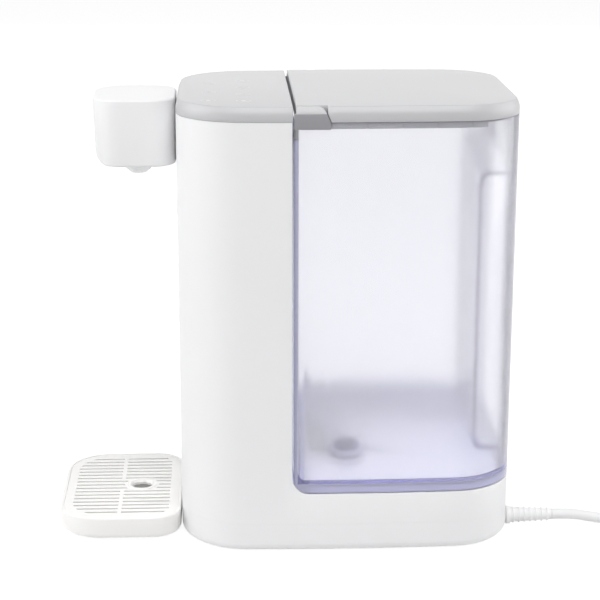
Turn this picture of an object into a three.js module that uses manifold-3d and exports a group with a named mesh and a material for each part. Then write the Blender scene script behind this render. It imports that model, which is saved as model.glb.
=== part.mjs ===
// Instant hot water dispenser: a column with a spout, a lift-off clear tank with a flip lid, and a drip tray.
// Millimetres, +Z up. X runs from the front of the machine to its rear, and Y across it.
// Inside this file X = 0 is the front face of the column; the last lines centre the part on its footprint.
import * as THREE from 'three';
import { mergeVertices } from 'three/addons/utils/BufferGeometryUtils.js';
import Module from 'manifold-3d';

const wasm = await Module();
wasm.setup();

// Fits and cuts.
const gap = 0.3; // between pieces that touch
const swingGap = 0.5; // beside a piece that turns
const overrun = 6; // how far a cut runs past a face

// The machine as a whole.
const bodyLength = 192.8;
const bodyWidth = 145;
const bodyHeight = 259.8; // top of the grey cap
const frontRadius = 37.7; // corners seen from above
const rearRadius = 33.8;
const sideSag = 3.35; // how far the long sides fall away towards their ends
const shellWall = 2.5;
const footHeight = 1.5; // base above the table
const baseEdge = 8; // rounding under the base
const seamHeight = 18.2; // between base and housing
const deckHeight = 36.6; // shelf that carries the tank
const columnDepth = 64;
const bayFillet = 10; // inner corner between column and deck
const capEdge = 5.6; // rolled edge of cap and lid
const capDrop = 8.8; // cap's lower edge below its top
const capWall = 2.4;
const tongueWall = 1.6; // lip that centres one shell in the next
const tongueDepth = 6;

// Tank, collar and lid.
const tankWall = 2.4;
const tankStand = 0.6; // gap between the tank and the column
const tankCorner = 3;
const tankFillet = 9.5; // front bottom edge
const tankFloor = 3;
const tankFloorTop = 43.5;
const tankBottomEdge = 1.5;
const rimDrop = 12.1; // tank's rim below the cap's top
const rimNotch = 2.4; // front rim lower, where the lid's front edge swings
const collarBand = 4.2; // grey band that shows under the lid
const collarRise = 4.4; // upstand inside the lid
const collarTongue = 1.2; // collar inside the rim, below it
const lidStand = 1.3; // gap between tank front and lid front
const lidProud = 1.6; // lid's middle above the cap
const lidCrown = 0.6; // rise of the lid's top to its middle
const crownInset = 20; // where that rise ends, from the lid's edge
const lidPlate = 2.4;
const lidFrontEdge = 1.5;
const pinSetback = 12.3; // hinge pin behind the tank's front face
const pinDrop = 7.4; // below the lid's middle
const pinRadius = 1.5;
const earRadius = 5.8;
const earFootDepth = 2.6; // ear's foot at the tank's front corner
const earFootDrop = 4.4; // below the rim
const knuckleRadius = 4;
const knuckleWidth = 5.6;
const pinReach = 3; // pin inside the ear
const lipSetback = 6.2; // lid's side lip starts behind the pin
const gripDepth = 18.5; // hand recess in the tank's rear
const gripHalfWidth = 36;
const gripDrop = 37.7; // its top below the rim
const gripBottom = 50;
const gripCorner = 6;

// Spout.
const spoutReach = 47.6; // in front of the column, at the top
const spoutDraft = 1.2; // how far the front leans back at the bottom
const spoutStandOff = 0.6;
const spoutHalfWidth = 28.8;
const spoutDrop = 2.4; // spout's top below the cap's top
const spoutHeight = 38.4;
const spoutFrontRadius = 16;
const spoutRearRadius = 14;
const spoutTopEdge = 1.2;
const spoutBottomEdge = 1.8;
const spoutWall = 2.4;
const spoutCoverPlate = 1.8;
const neckHalfWidth = 15;
const neckDrop = 16.4; // below the spout's top
const neckHeight = 16;
const neckWall = 2;
const neckFlange = 4; // flange past the neck, inside the column
const flangePlate = 2.4;
const nozzleReach = 22.8; // spout axis in front of the column
const nozzleRadius = 10.5;
const nozzleRimRadius = 8.8; // where its face turns in towards the tip
const nozzleTipRadius = 4.6;
const nozzleFace = 3.6; // height of that turned-in part
const nozzleDrop = 8; // its tip below the spout
const nozzleBore = 3;
const nozzleFlange = 1.6; // wider than the nozzle, all round and as thick
const nozzleSpigot = 1.6;

// Drip tray.
const trayReach = 72.6;
const trayHalfWidth = 54;
const trayHeight = 16;
const trayFrontRadius = 26;
const trayRearRadius = 17;
const trayEdge = 5; // rounding under the tray
const trayTopEdge = 1;
const trayStandOff = 0.6;
const trayWall = 4.4;
const trayFloor = 2.2;
const grilleSeat = 2.8; // depth of the grille's recess
const grilleRim = 1.8; // wall round the recess
const grillePlate = 2.2;
const slotCount = 17;
const slotPitch = 5.45;
const slotWidth = 2;
const slotMargin = 7.5; // from the tray's edge
const slotBridge = 4;
const bridgeReach = 37; // bridges in front of the column
const drainReach = 25.4;
const drainRadius = 6.6;
const drainRing = 2.3;
const drainRaise = 0.6;

// Water path under the tank.
const valveX = 98;
const valveY = -26;
const valveRadius = 8; // outside of the valve's barrel
const valveWall = 1.6;
const valveDrop = 8.4; // barrel below the deck's top
const valveFlange = 3;
const valveFlangePlate = 1.6;
const seatRadius = 4;
const seatHeight = 33;
const seatPlate = 1.4;
const plungerLift = 3; // how far the seated tank holds the valve open
const plungerStem = 1.5;
const plungerDisc = 5.6;
const plungerDiscPlate = 1.6;
const stemDrop = 4.5; // stem below the seat
const strainerRadius = 7.4;
const strainerHeight = 2.6;
const strainerWall = 1;
const strainerHub = 3.2; // middle that the slots leave whole
const strainerSlots = 10;
const strainerSlotWidth = 1.2;
const springRadius = 3.4;
const springWire = 0.45;
const springTurns = 5;
const couplingWall = 2.6;
const couplingFlange = 4;
const couplingPlate = 2;
const couplingDepth = 13;
const spigotRadius = 4;
const spigotLength = 5;
const sealWire = 0.9;
const sealSqueezeShare = 0.8; // of the seal's wire, once it is seated

// Pump.
const pumpX = 112;
const pumpY = 24;
const pumpHeight = 18.5;
const pumpRadius = 12.6;
const pumpHead = 14;
const pumpWall = 2;
const pumpPort = 4;
const pumpPortLength = 9;
const pumpPortBore = 2.4;
const motorRadius = 11.6;
const motorLength = 34;
const impellerRadius = 8.6;
const impellerPlate = 1.6;
const vaneHeight = 4.4;
const vaneWall = 1.2;
const vaneCount = 4;
const shaftRadius = 1.5;
const shaftSeat = 8;
const mountLength = 20;
const mountWidth = 26;

// Heater and electronics in the column.
const heaterX = 32;
const heaterY = 22;
const heaterRadius = 15;
const heaterDrop = 33; // heater's top below the neck
const heaterLength = 112;
const heaterCap = 9;
const heaterCapRadius = 16.6;
const heaterSpigot = 8;
const bracketWall = 1.5;
const bracketHeight = 14;
const bracketHalfWidth = 20;
const cutoutRadius = 6.5;
const cutoutLength = 5.5;
const sensorRadius = 2.6;
const sensorLength = 11;
const cutoutShares = [0.22, 0.78]; // places of the thermal cut-outs up the heater
const boardWall = 1.6;
const powerBoardInset = 42.5; // board's face from the near side
const powerBoardDepth = 46;
const powerBoardBottom = 66;
const powerBoardHeight = 116;
const relayHeight = 14.4; // parts off the power board's face
const transformerHeight = 17.6;
const heatSinkHeight = 19.2;
const terminalHeight = 9.6;
const capacitorHeight = 12.8;
const capacitorRadius = 6.4;
const railDepth = 4;
const railWall = 1.6;
const touchBoardLength = 42;
const touchBoardWidth = 68;
const touchBoardDrop = 5; // board's top below the cap's top
const postRadius = 2.5;
const postInset = 5;
const tubeRadius = 4;
const elbowShare = 1.4; // a tube's first bend beyond its spigot, in tube radii
const reedLength = 16;
const reedWidth = 8;
const reedHeight = 5;
const reedX = 81;
const tankMagnetLength = 44;
const tankMagnetWidth = 12;
const tankMagnetCorner = 3;
const tankMagnetPlate = 2.6;
const trayMagnetY = 26;
const trayMagnetHeight = 8.6;
const trayMagnetRadius = 3;
const trayMagnetPlate = 2;

// Feet and screws under the base.
const footRadius = 8;
const footSeat = 1; // foot let into the base
const footSetX = 34; // feet from the ends of the base
const footInset = 30.5; // feet from the sides
const screwHead = 3.2;
const screwHeadPlate = 2;
const screwShank = 1.4;
const screwGrip = 12;
const bossRadius = 4.2;
const bossLift = 0.6; // boss above the base's floor
const frontBossX = 74;
const frontBossInset = 12.5;
const rearBossX = 172;
const rearBossInset = 26.5;

// Mains lead.
const cordDiameter = 6.2;
const reliefY = -37;
const reliefHeight = 7.7;
const reliefLength = 28;
const reliefRadius = 5.4;
const reliefTipRadius = 3.9;
const reliefNeck = 4.2;
const reliefCollar = 6;
const reliefCollarPlate = 2;
const turnGap = 0.6;
const coilX = 318;
const coilY = 2.5;
const coilRadius = 42.5;
const coilTurns = 2.375; // in each of the two layers
const tieWall = 0.8;
const tieWidth = 8;
const plugLength = 32;
const plugHalfWidth = 17;
const plugRelief = 24;
const plugCorner = 6;
const reliefFlareShare = 1.4; // plug's end of its strain relief against the other end
const shoulderShares = [0.7, 0.8]; // plug's shoulder across and up, of its full size
const shoulderEndShare = 0.6; // where the shoulder ends along the plug
const pinLength = 18;
const pinWide = 6.3;
const pinThick = 1.6;
const pinSeat = 4;
const pinSpread = 6.6;
const earthReach = 7;
const pinLean = Math.PI / 6;

// The route of the lead from its strain relief to the coil, chosen by hand along the table.
const cordRoute = [
  [221.1, -37, 7.7], [226, -37, 7.7], [231, -37, 7.55], [236, -37, 7.1], [241, -37.1, 6.3],
  [246, -37.2, 5.4], [251, -37.4, 4.7], [256, -37.7, 4.35], [262, -38.2, 4.2], [268, -38.8, 4.2],
  [275, -39.3, 4.2], [283, -39.7, 4.2], [291, -39.9, 4.2], [300, -40, 4.2], [311.5, -40, 4.2],
];

// Facets. These are counts, not sizes.
const cornerSteps = 6;
const sideSteps = 4;
const edgeSteps = 3;
const roundSides = 16;
const smallSides = 10;
const loopSteps = 24;
const loopSides = 6;
const springSteps = 8;
const springSides = 5;
const sealSides = 6;
const tubeSides = 10;
const inletTubeSteps = 20;
const pumpTubeSteps = 34;
const spoutTubeSteps = 30;
const cordSides = 8;
const cordSteps = 12;

// Sizes that follow from the ones above.
const middle = bodyLength / 2;
const housingBottom = seamHeight + gap / 2;
const rimHeight = bodyHeight - rimDrop;
const lidTop = bodyHeight + lidProud;
const pinHeight = lidTop - pinDrop;
const gripTop = rimHeight - gripDrop;
const spoutTop = bodyHeight - spoutDrop;
const spoutBottom = spoutTop - spoutHeight;
const nozzleTip = spoutBottom - nozzleDrop;
const neckTop = spoutTop - neckDrop;
const heaterTop = neckTop - heaterDrop;
const heaterBottom = heaterTop - heaterLength;
const footSetY = bodyWidth / 2 - footInset;
const powerBoardY = powerBoardInset - bodyWidth / 2;
const frontBossY = bodyWidth / 2 - frontBossInset;
const rearBossY = bodyWidth / 2 - rearBossInset;
const capBottom = bodyHeight - capDrop;
const housingTop = capBottom - gap;
const tankFront = columnDepth + gap + tankStand - gap / 2;
const tankBottom = deckHeight + gap;
const collarBottom = rimHeight + gap;
const collarTop = collarBottom + collarBand;
const lidBottom = collarTop + gap;
const lidFront = tankFront + lidStand;
const pinX = tankFront + pinSetback;
const collarInset = tankWall + gap;
const collarWall = collarInset + tongueWall;
const earInside = bodyWidth / 2 - collarWall;
const innerColumn = columnDepth - shellWall; // front face of the column's rear wall
const baseFloor = footHeight + shellWall;
const lipInset = shellWall + gap; // a centring lip inside the shell above or below it
const magnetSeat = lipInset + tongueWall + gap;
const reliefInside = bodyLength - magnetSeat;
const reliefTip = bodyLength + reliefLength;
const layerRise = cordDiameter + turnGap;
const coilHeight = cordDiameter / 2 + tieWall + gap;
const coilTopHeight = coilHeight + layerRise;

// A closed mesh as a solid, and a solid as a mesh.
function solid(geometry) {
  const bare = geometry.clone();
  bare.deleteAttribute('normal');
  bare.deleteAttribute('uv');
  const merged = mergeVertices(bare);
  return new wasm.Manifold(new wasm.Mesh({
    numProp: 3,
    vertProperties: merged.attributes.position.array,
    triVerts: new Uint32Array(merged.index.array),
  }));
}

function geometryOf(made) {
  const mesh = made.getMesh();
  const geometry = new THREE.BufferGeometry();
  geometry.setAttribute('position', new THREE.BufferAttribute(mesh.vertProperties, 3));
  geometry.setIndex(new THREE.BufferAttribute(mesh.triVerts, 1));
  return geometry;
}

const join = (first, ...rest) => rest.reduce((made, next) => made.add(next), first);
const cut = (first, ...rest) => rest.reduce((made, next) => made.subtract(next), first);

// Stacks outlines of equal point count, each at its height, and closes both ends.
function stack(levels) {
  const count = levels[0].points.length;
  const positions = [];
  const index = [];
  for (const { points, z } of levels) for (const p of points) positions.push(p.x, p.y, z);
  const centre = (level) => {
    const sum = level.points.reduce((total, p) => total.add(p), new THREE.Vector2());
    sum.divideScalar(count);
    positions.push(sum.x, sum.y, level.z);
    return positions.length / 3 - 1;
  };
  for (let k = 0; k + 1 < levels.length; k += 1) {
    for (let i = 0; i < count; i += 1) {
      const j = (i + 1) % count;
      const [a, b, c, d] = [k * count + i, k * count + j, (k + 1) * count + j, (k + 1) * count + i];
      index.push(a, b, c, a, c, d);
    }
  }
  const low = centre(levels[0]);
  const high = centre(levels[levels.length - 1]);
  const last = (levels.length - 1) * count;
  for (let i = 0; i < count; i += 1) {
    const j = (i + 1) % count;
    index.push(low, j, i, high, last + i, last + j);
  }
  const geometry = new THREE.BufferGeometry();
  geometry.setAttribute('position', new THREE.Float32BufferAttribute(positions, 3));
  geometry.setIndex(index);
  return solid(geometry);
}

// A rounded rectangle seen from above, its corners as arcs, with the long sides in even steps.
function roundedPlan({ front, rear, half, frontRound, rearRound, inset = 0 }) {
  const points = [];
  const corner = (x, y, radius, from) => {
    for (let i = 0; i <= cornerSteps; i += 1) {
      const angle = from + (i / cornerSteps) * Math.PI / 2;
      points.push(new THREE.Vector2(x + radius * Math.cos(angle), y + radius * Math.sin(angle)));
    }
  };
  const side = (from, to, y) => {
    for (let i = 1; i < sideSteps; i += 1) {
      points.push(new THREE.Vector2(from + (i / sideSteps) * (to - from), y));
    }
  };
  const [x0, x1, y1] = [front + inset, rear - inset, half - inset];
  const r0 = Math.max(frontRound - inset, frontRound / cornerSteps);
  const r1 = Math.max(rearRound - inset, rearRound / cornerSteps);
  corner(x0 + r0, r0 - y1, r0, Math.PI);
  side(x0 + r0, x1 - r1, -y1);
  corner(x1 - r1, r1 - y1, r1, Math.PI * 1.5);
  corner(x1 - r1, y1 - r1, r1, 0);
  side(x1 - r1, x0 + r0, y1);
  corner(x0 + r0, y1 - r0, r0, Math.PI / 2);
  return points;
}

// The machine's plan: a rounded rectangle whose long sides fall away towards their ends.
function machinePlan(inset, front = 0, frontRound = frontRadius) {
  const points = roundedPlan({
    front, rear: bodyLength, half: bodyWidth / 2, frontRound, rearRound: rearRadius, inset,
  });
  for (const p of points) {
    const share = (p.x - middle) / middle;
    p.y *= 1 - (sideSag / (bodyWidth / 2)) * share * share;
  }
  return points;
}

// Levels are pairs of inset and height.
const machineBlock = (levels) => stack(levels.map(([inset, z]) => ({ points: machinePlan(inset), z })));
const tankBlock = (levels) => stack(levels.map(([inset, z]) => (
  { points: machinePlan(inset, tankFront, tankCorner), z }
)));

// Levels of a quarter round of the given radius: up to a top edge, or away from a bottom edge.
function topEdge(radius, top, steps = edgeSteps) {
  return Array.from({ length: steps + 1 }, (_, i) => {
    const angle = (i / steps) * Math.PI / 2;
    return [radius * (1 - Math.cos(angle)), top - radius * (1 - Math.sin(angle))];
  });
}

function bottomEdge(radius, bottom, steps = edgeSteps) {
  return Array.from({ length: steps + 1 }, (_, i) => {
    const angle = (i / steps) * Math.PI / 2;
    return [radius * (1 - Math.sin(angle)), bottom + radius * (1 - Math.cos(angle))];
  });
}

function box(x0, x1, y0, y1, z0, z1) {
  const geometry = new THREE.BoxGeometry(x1 - x0, y1 - y0, z1 - z0);
  return solid(geometry.translate((x0 + x1) / 2, (y0 + y1) / 2, (z0 + z1) / 2));
}

// A round bar along an axis, from one place on it to another; u and v are its place across.
function bar(axis, radius, from, to, u, v, sides = roundSides) {
  const geometry = new THREE.CylinderGeometry(radius, radius, to - from, sides);
  const along = (from + to) / 2;
  if (axis === 'z') geometry.rotateX(Math.PI / 2).translate(u, v, along);
  if (axis === 'y') geometry.translate(u, along, v);
  if (axis === 'x') geometry.rotateZ(Math.PI / 2).translate(along, u, v);
  return solid(geometry);
}

// A turned piece from pairs of radius and place along the axis, listed in rising order or round a loop.
function turned(axis, pairs, u, v, sides = roundSides) {
  const profile = pairs.map(([radius, along]) => new THREE.Vector2(radius, along));
  const geometry = new THREE.LatheGeometry(profile, sides);
  if (axis === 'z') geometry.rotateX(Math.PI / 2).translate(u, v, 0);
  if (axis === 'x') geometry.rotateZ(-Math.PI / 2).translate(0, u, v);
  if (axis === 'y') geometry.translate(u, 0, v);
  return solid(geometry);
}

// A profile drawn in X and Z, as thick across the machine as the two Y values say.
function sideProfile(points, y0, y1) {
  const shape = new THREE.Shape(points.map(([x, z]) => new THREE.Vector2(x, z)));
  const geometry = new THREE.ExtrudeGeometry(shape, { depth: y1 - y0, bevelEnabled: false });
  return solid(geometry.rotateX(Math.PI / 2).translate(0, y1, 0));
}

const arc = (x, z, radius, from, to, steps = cornerSteps) => Array.from({ length: steps + 1 }, (_, i) => {
  const angle = from + (i / steps) * (to - from);
  return [x + radius * Math.cos(angle), z + radius * Math.sin(angle)];
});

// A round tube along a smooth route.
function tube(route, radius, sides, steps) {
  const path = new THREE.CatmullRomCurve3(route.map((p) => new THREE.Vector3(...p)), false, 'centripetal');
  const section = new THREE.Shape(Array.from({ length: sides }, (_, i) => {
    const angle = (i / sides) * Math.PI * 2;
    return new THREE.Vector2(radius * Math.cos(angle), radius * Math.sin(angle));
  }));
  return new THREE.ExtrudeGeometry(section, { steps, bevelEnabled: false, extrudePath: path });
}

// The space behind the column and above the deck, grown by a wall where one is given.
function bay(growth) {
  const [x0, z0, radius] = [columnDepth - growth, deckHeight - growth, bayFillet + growth];
  const [x1, z1, y1] = [bodyLength + overrun, bodyHeight + overrun, bodyWidth / 2 + overrun];
  return sideProfile([
    [x1, z0], [x1, z1], [x0, z1], ...arc(x0 + radius, z0 + radius, radius, Math.PI, Math.PI * 1.5),
  ], -y1, y1);
}

const part = new THREE.Group();
function add(name, made, { color, roughness, metalness = 0, opacity = 1 }) {
  const material = new THREE.MeshStandardMaterial({
    color, roughness, metalness, opacity, transparent: opacity < 1,
  });
  const mesh = new THREE.Mesh(made.isBufferGeometry ? made : geometryOf(made), material);
  mesh.name = name;
  part.add(mesh);
}

// Finishes.
const whitePlastic = { color: 0xf1f1f3, roughness: 0.42 };
const greyPlastic = { color: 0xd9d9dc, roughness: 0.5 };
const darkPlastic = { color: 0x4a4a50, roughness: 0.6 };
const clearPlastic = { color: 0xe6e5f4, roughness: 0.08, opacity: 0.3 };
const palePlastic = { color: 0xe4e3e6, roughness: 0.5 };
const rubber = { color: 0x3b3b3d, roughness: 0.85 };
const silicone = { color: 0xe8e6e2, roughness: 0.6 };
const steel = { color: 0xb9bbbe, roughness: 0.32, metalness: 1 };
const brass = { color: 0xc9a65c, roughness: 0.35, metalness: 1 };
const boardGreen = { color: 0x2f6b45, roughness: 0.55 };
const cordWhite = { color: 0xf0f0f0, roughness: 0.5 };

// Where the base screws and the feet go.
const screwPlaces = [
  [frontBossX, -frontBossY], [frontBossX, frontBossY], [rearBossX, -rearBossY], [rearBossX, rearBossY],
];
const footPlaces = [
  [footSetX, -footSetY], [footSetX, footSetY],
  [bodyLength - footSetX, -footSetY], [bodyLength - footSetX, footSetY],
];
const bossBottom = baseFloor + bossLift;

// Housing: column and deck in one shell, open below and above.
function makeHousing() {
  const outer = machineBlock([[0, housingBottom], [0, housingTop]]);
  const inner = machineBlock([[shellWall, housingBottom - overrun], [shellWall, housingTop + overrun]]);
  const hollow = cut(inner, bay(shellWall));
  const bosses = screwPlaces.map(([x, y]) => (
    bar('z', bossRadius, bossBottom, deckHeight - shellWall / 2, x, y)
  ));
  const pilots = screwPlaces.map(([x, y]) => (
    bar('z', screwShank + gap, bossBottom - overrun, bossBottom + screwGrip, x, y, smallSides)
  ));
  const rails = [powerBoardY - boardWall - gap - railWall, powerBoardY + gap].map((y) => box(
    innerColumn - railDepth, innerColumn + shellWall / 2, y, y + railWall,
    powerBoardBottom, powerBoardBottom + powerBoardHeight,
  ));
  const neckHole = box(
    -overrun, shellWall + overrun, -neckHalfWidth - gap, neckHalfWidth + gap,
    neckTop - neckHeight - gap, neckTop + gap,
  );
  const couplingHole = bar('z', valveRadius + gap + couplingWall + gap, deckHeight - shellWall - overrun,
    deckHeight + overrun, valveX, valveY);
  const couplingRecess = bar('z', valveRadius + gap + couplingWall + couplingFlange + gap,
    deckHeight - couplingPlate / 2, deckHeight + overrun, valveX, valveY);
  const shell = cut(outer, bay(0), hollow);
  return cut(join(shell, ...bosses, ...rails), ...pilots, neckHole, couplingHole, couplingRecess);
}
add('housing', makeHousing(), whitePlastic);

// Base cover: a pan with a rounded lower edge and a lip that centres it in the housing.
function makeBaseCover() {
  const outer = machineBlock([...bottomEdge(baseEdge, footHeight), [0, seamHeight - gap / 2]]);
  const lip = machineBlock([
    [lipInset, seamHeight - tongueDepth / 2], [lipInset, seamHeight + tongueDepth / 2],
  ]);
  const inner = machineBlock([
    ...bottomEdge(baseEdge, baseFloor).map(([inset, z]) => [inset + lipInset + tongueWall, z]),
    [lipInset + tongueWall, seamHeight + overrun],
  ]);
  const feet = footPlaces.map(([x, y]) => bar('z', footRadius + gap, 0, footHeight + footSeat, x, y));
  const holes = screwPlaces.flatMap(([x, y]) => [
    bar('z', screwShank + gap, 0, baseFloor + overrun, x, y, smallSides),
    bar('z', screwHead + gap, 0, footHeight + screwHeadPlate / 2, x, y, smallSides),
    bar('z', bossRadius + gap, baseFloor, seamHeight + overrun, x, y),
  ]);
  const leadHole = bar('x', reliefNeck + gap, bodyLength - overrun * 2, bodyLength + overrun, reliefY,
    reliefHeight);
  const leadSeat = box(
    reliefInside - reliefCollarPlate - gap, reliefInside + gap, reliefY - reliefCollar - gap,
    reliefY + reliefCollar + gap, baseFloor, seamHeight + overrun,
  );
  const magnetSeats = [-1, 1].map((side) => bar('x', trayMagnetRadius + gap, magnetSeat - gap,
    magnetSeat + overrun, side * trayMagnetY, trayMagnetHeight, smallSides));
  const shell = cut(join(outer, lip), inner);
  return cut(shell, ...feet, ...holes, leadHole, leadSeat, ...magnetSeats);
}
add('base_cover', makeBaseCover(), whitePlastic);

footPlaces.forEach(([x, y], i) => {
  add(`foot_${i + 1}`, turned('z', [
    [0, 0], [footRadius - footSeat, 0], [footRadius, footSeat], [footRadius, footHeight + footSeat - gap],
    [0, footHeight + footSeat - gap],
  ], x, y), rubber);
});

screwPlaces.forEach(([x, y], i) => {
  const head = footHeight + screwHeadPlate / 2 - gap;
  add(`base_screw_${i + 1}`, turned('z', [
    [0, head - screwHeadPlate / 2], [screwHead, head - screwHeadPlate / 2], [screwHead, head],
    [screwShank, head], [screwShank, bossBottom + screwGrip - gap], [0, bossBottom + screwGrip - gap],
  ], x, y, smallSides), steel);
});

// Top cap: grey cover of the column with a rolled edge, posts for the touch board and a centring lip.
const touchBoardTop = bodyHeight - touchBoardDrop;
const touchBoardMiddle = innerColumn / 2 + shellWall / 2;
const touchBoardX = [touchBoardMiddle - touchBoardLength / 2, touchBoardMiddle + touchBoardLength / 2];
function makeTopCap() {
  const behind = (x) => box(x, bodyLength + overrun, -bodyWidth, bodyWidth, 0, bodyHeight + overrun);
  const outer = cut(machineBlock([[0, capBottom], ...topEdge(capEdge, bodyHeight)]), behind(columnDepth + gap));
  const lip = cut(
    machineBlock([[lipInset, capBottom - tongueDepth], [lipInset, capBottom + capWall]]),
    behind(innerColumn - gap),
  );
  const inner = cut(
    machineBlock([
      [lipInset + tongueWall, capBottom - tongueDepth - overrun], [lipInset + tongueWall, bodyHeight - capWall],
    ]),
    behind(innerColumn - gap - tongueWall),
  );
  const posts = touchBoardX.flatMap((x, i) => [-1, 1].map((side) => bar(
    'z', postRadius, touchBoardTop + gap, bodyHeight - capWall / 2,
    x + postInset * (1 - 2 * i), side * (touchBoardWidth / 2 - postInset), smallSides,
  )));
  return join(cut(join(outer, lip), inner), ...posts);
}
add('top_cap', makeTopCap(), greyPlastic);

function makeTouchBoard() {
  const [x0, x1] = touchBoardX;
  const half = touchBoardWidth / 2;
  const plate = box(x0, x1, -half, half, touchBoardTop - boardWall, touchBoardTop);
  const chip = box(x0 + postInset * 2, x1 - postInset * 2, -postInset, postInset,
    touchBoardTop - boardWall * 2, touchBoardTop - boardWall / 2);
  return join(plate, chip);
}
add('touch_board', makeTouchBoard(), boardGreen);

// Spout head: a tapered hollow block on a neck that is clamped inside the column.
function spoutPlan(inset, z) {
  const share = (spoutTop - z) / (spoutTop - spoutBottom);
  return roundedPlan({
    front: -spoutReach + spoutDraft * share, rear: -spoutStandOff, half: spoutHalfWidth,
    frontRound: spoutFrontRadius, rearRound: spoutRearRadius, inset,
  });
}
const spoutBlock = (levels) => stack(levels.map(([inset, z]) => ({ points: spoutPlan(inset, z), z })));
const coverLow = spoutBottom + spoutWall / 2;
const coverHigh = coverLow + spoutCoverPlate;
function makeSpout() {
  const outer = spoutBlock([
    ...bottomEdge(spoutBottomEdge, spoutBottom, 2), ...topEdge(spoutTopEdge, spoutTop, 1),
  ]);
  const inner = spoutBlock([[spoutWall, spoutBottom - overrun], [spoutWall, spoutTop - spoutWall]]);
  const neckBottom = neckTop - neckHeight;
  const flangeBack = shellWall + gap + flangePlate;
  const neck = box(-spoutStandOff - spoutWall, flangeBack, -neckHalfWidth, neckHalfWidth, neckBottom, neckTop);
  const flange = box(
    shellWall + gap, flangeBack, -neckHalfWidth - neckFlange, neckHalfWidth + neckFlange,
    neckBottom - neckFlange, neckTop + neckFlange,
  );
  const duct = box(
    -spoutStandOff - spoutWall - overrun, flangeBack + overrun, neckWall - neckHalfWidth,
    neckHalfWidth - neckWall, neckBottom + neckWall, neckTop - neckWall,
  );
  return cut(join(cut(outer, inner), neck, flange), duct);
}
add('spout_housing', makeSpout(), whitePlastic);

function makeSpoutCover() {
  const inset = spoutWall + gap;
  const plate = spoutBlock([[inset, coverLow], [inset, coverHigh]]);
  return cut(plate, bar('z', nozzleRadius + gap, spoutBottom - overrun, coverHigh + overrun, -nozzleReach, 0));
}
add('spout_cover', makeSpoutCover(), whitePlastic);

const nozzleTop = coverHigh + gap + nozzleFlange + nozzleSpigot;
add('nozzle', turned('z', [
  [nozzleBore, nozzleTip], [nozzleTipRadius, nozzleTip], [nozzleRimRadius, nozzleTip + nozzleFace],
  [nozzleRadius, coverLow],
  [nozzleRadius, coverHigh + gap], [nozzleRadius + nozzleFlange, coverHigh + gap],
  [nozzleRadius + nozzleFlange, coverHigh + gap + nozzleFlange], [spigotRadius, coverHigh + gap + nozzleFlange],
  [spigotRadius, nozzleTop], [nozzleBore, nozzleTop], [nozzleBore, nozzleTip],
], -nozzleReach, 0), palePlastic);

// Drip tray and grille.
function trayPlan(inset) {
  return roundedPlan({
    front: -trayReach, rear: -trayStandOff, half: trayHalfWidth,
    frontRound: trayFrontRadius, rearRound: trayRearRadius, inset,
  });
}
const trayBlock = (levels) => stack(levels.map(([inset, z]) => ({ points: trayPlan(inset), z })));
const grilleBottom = trayHeight - grilleSeat + gap;
function makeTray() {
  const outer = trayBlock([...bottomEdge(trayEdge, 0), ...topEdge(trayTopEdge, trayHeight, 1)]);
  const inner = trayBlock([
    [trayEdge, trayFloor], [trayWall, trayEdge], [trayWall, trayHeight + overrun],
  ]);
  const recess = trayBlock([[grilleRim, trayHeight - grilleSeat], [grilleRim, trayHeight + overrun]]);
  const magnets = [-1, 1].map((side) => bar('x', trayMagnetRadius + gap, -trayStandOff - trayMagnetPlate - gap,
    overrun, side * trayMagnetY, trayMagnetHeight, smallSides));
  return cut(outer, inner, recess, ...magnets);
}
add('drip_tray', makeTray(), whitePlastic);

function slotSpan(y) {
  const edge = trayPlan(slotMargin);
  const xs = [];
  edge.forEach((p, i) => {
    const q = edge[(i + 1) % edge.length];
    if ((p.y - y) * (q.y - y) < 0) xs.push(p.x + (q.x - p.x) * (y - p.y) / (q.y - p.y));
  });
  return [Math.min(...xs), Math.max(...xs)];
}
function makeGrille() {
  const inset = grilleRim + gap;
  const plateTop = grilleBottom + grillePlate;
  const plate = trayBlock([[inset, grilleBottom], [inset, plateTop]]);
  const ring = bar('z', drainRadius + drainRing, grilleBottom, plateTop + drainRaise, -drainReach, 0);
  const drain = bar('z', drainRadius, 0, trayHeight + overrun, -drainReach, 0);
  const slots = [];
  for (let i = 0; i < slotCount; i += 1) {
    const y = (i - (slotCount - 1) / 2) * slotPitch;
    const [left, right] = slotSpan(y);
    const clear = drainRadius + drainRing + slotWidth / 2;
    const chord = Math.abs(y) < clear ? Math.sqrt(clear * clear - y * y) : 0;
    const stops = [[-bridgeReach - slotBridge / 2, -bridgeReach + slotBridge / 2]];
    if (chord > 0) stops.splice(0, 1, [-drainReach - chord, -drainReach + chord]);
    const [[stopLeft, stopRight]] = stops;
    for (const [from, to] of [[left, stopLeft], [stopRight, right]]) {
      slots.push(box(from, to, y - slotWidth / 2, y + slotWidth / 2, 0, trayHeight + overrun));
    }
  }
  return cut(join(plate, ring), drain, ...slots);
}
add('drip_grille', makeGrille(), whitePlastic);

[-1, 1].forEach((side, i) => {
  const y = side * trayMagnetY;
  add(`tray_magnet_${i + 1}`, bar('x', trayMagnetRadius, -trayStandOff - trayMagnetPlate, -trayStandOff, y,
    trayMagnetHeight, smallSides), steel);
  add(`base_magnet_${i + 1}`, bar('x', trayMagnetRadius, magnetSeat, magnetSeat + trayMagnetPlate, y,
    trayMagnetHeight, smallSides), steel);
});

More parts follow.
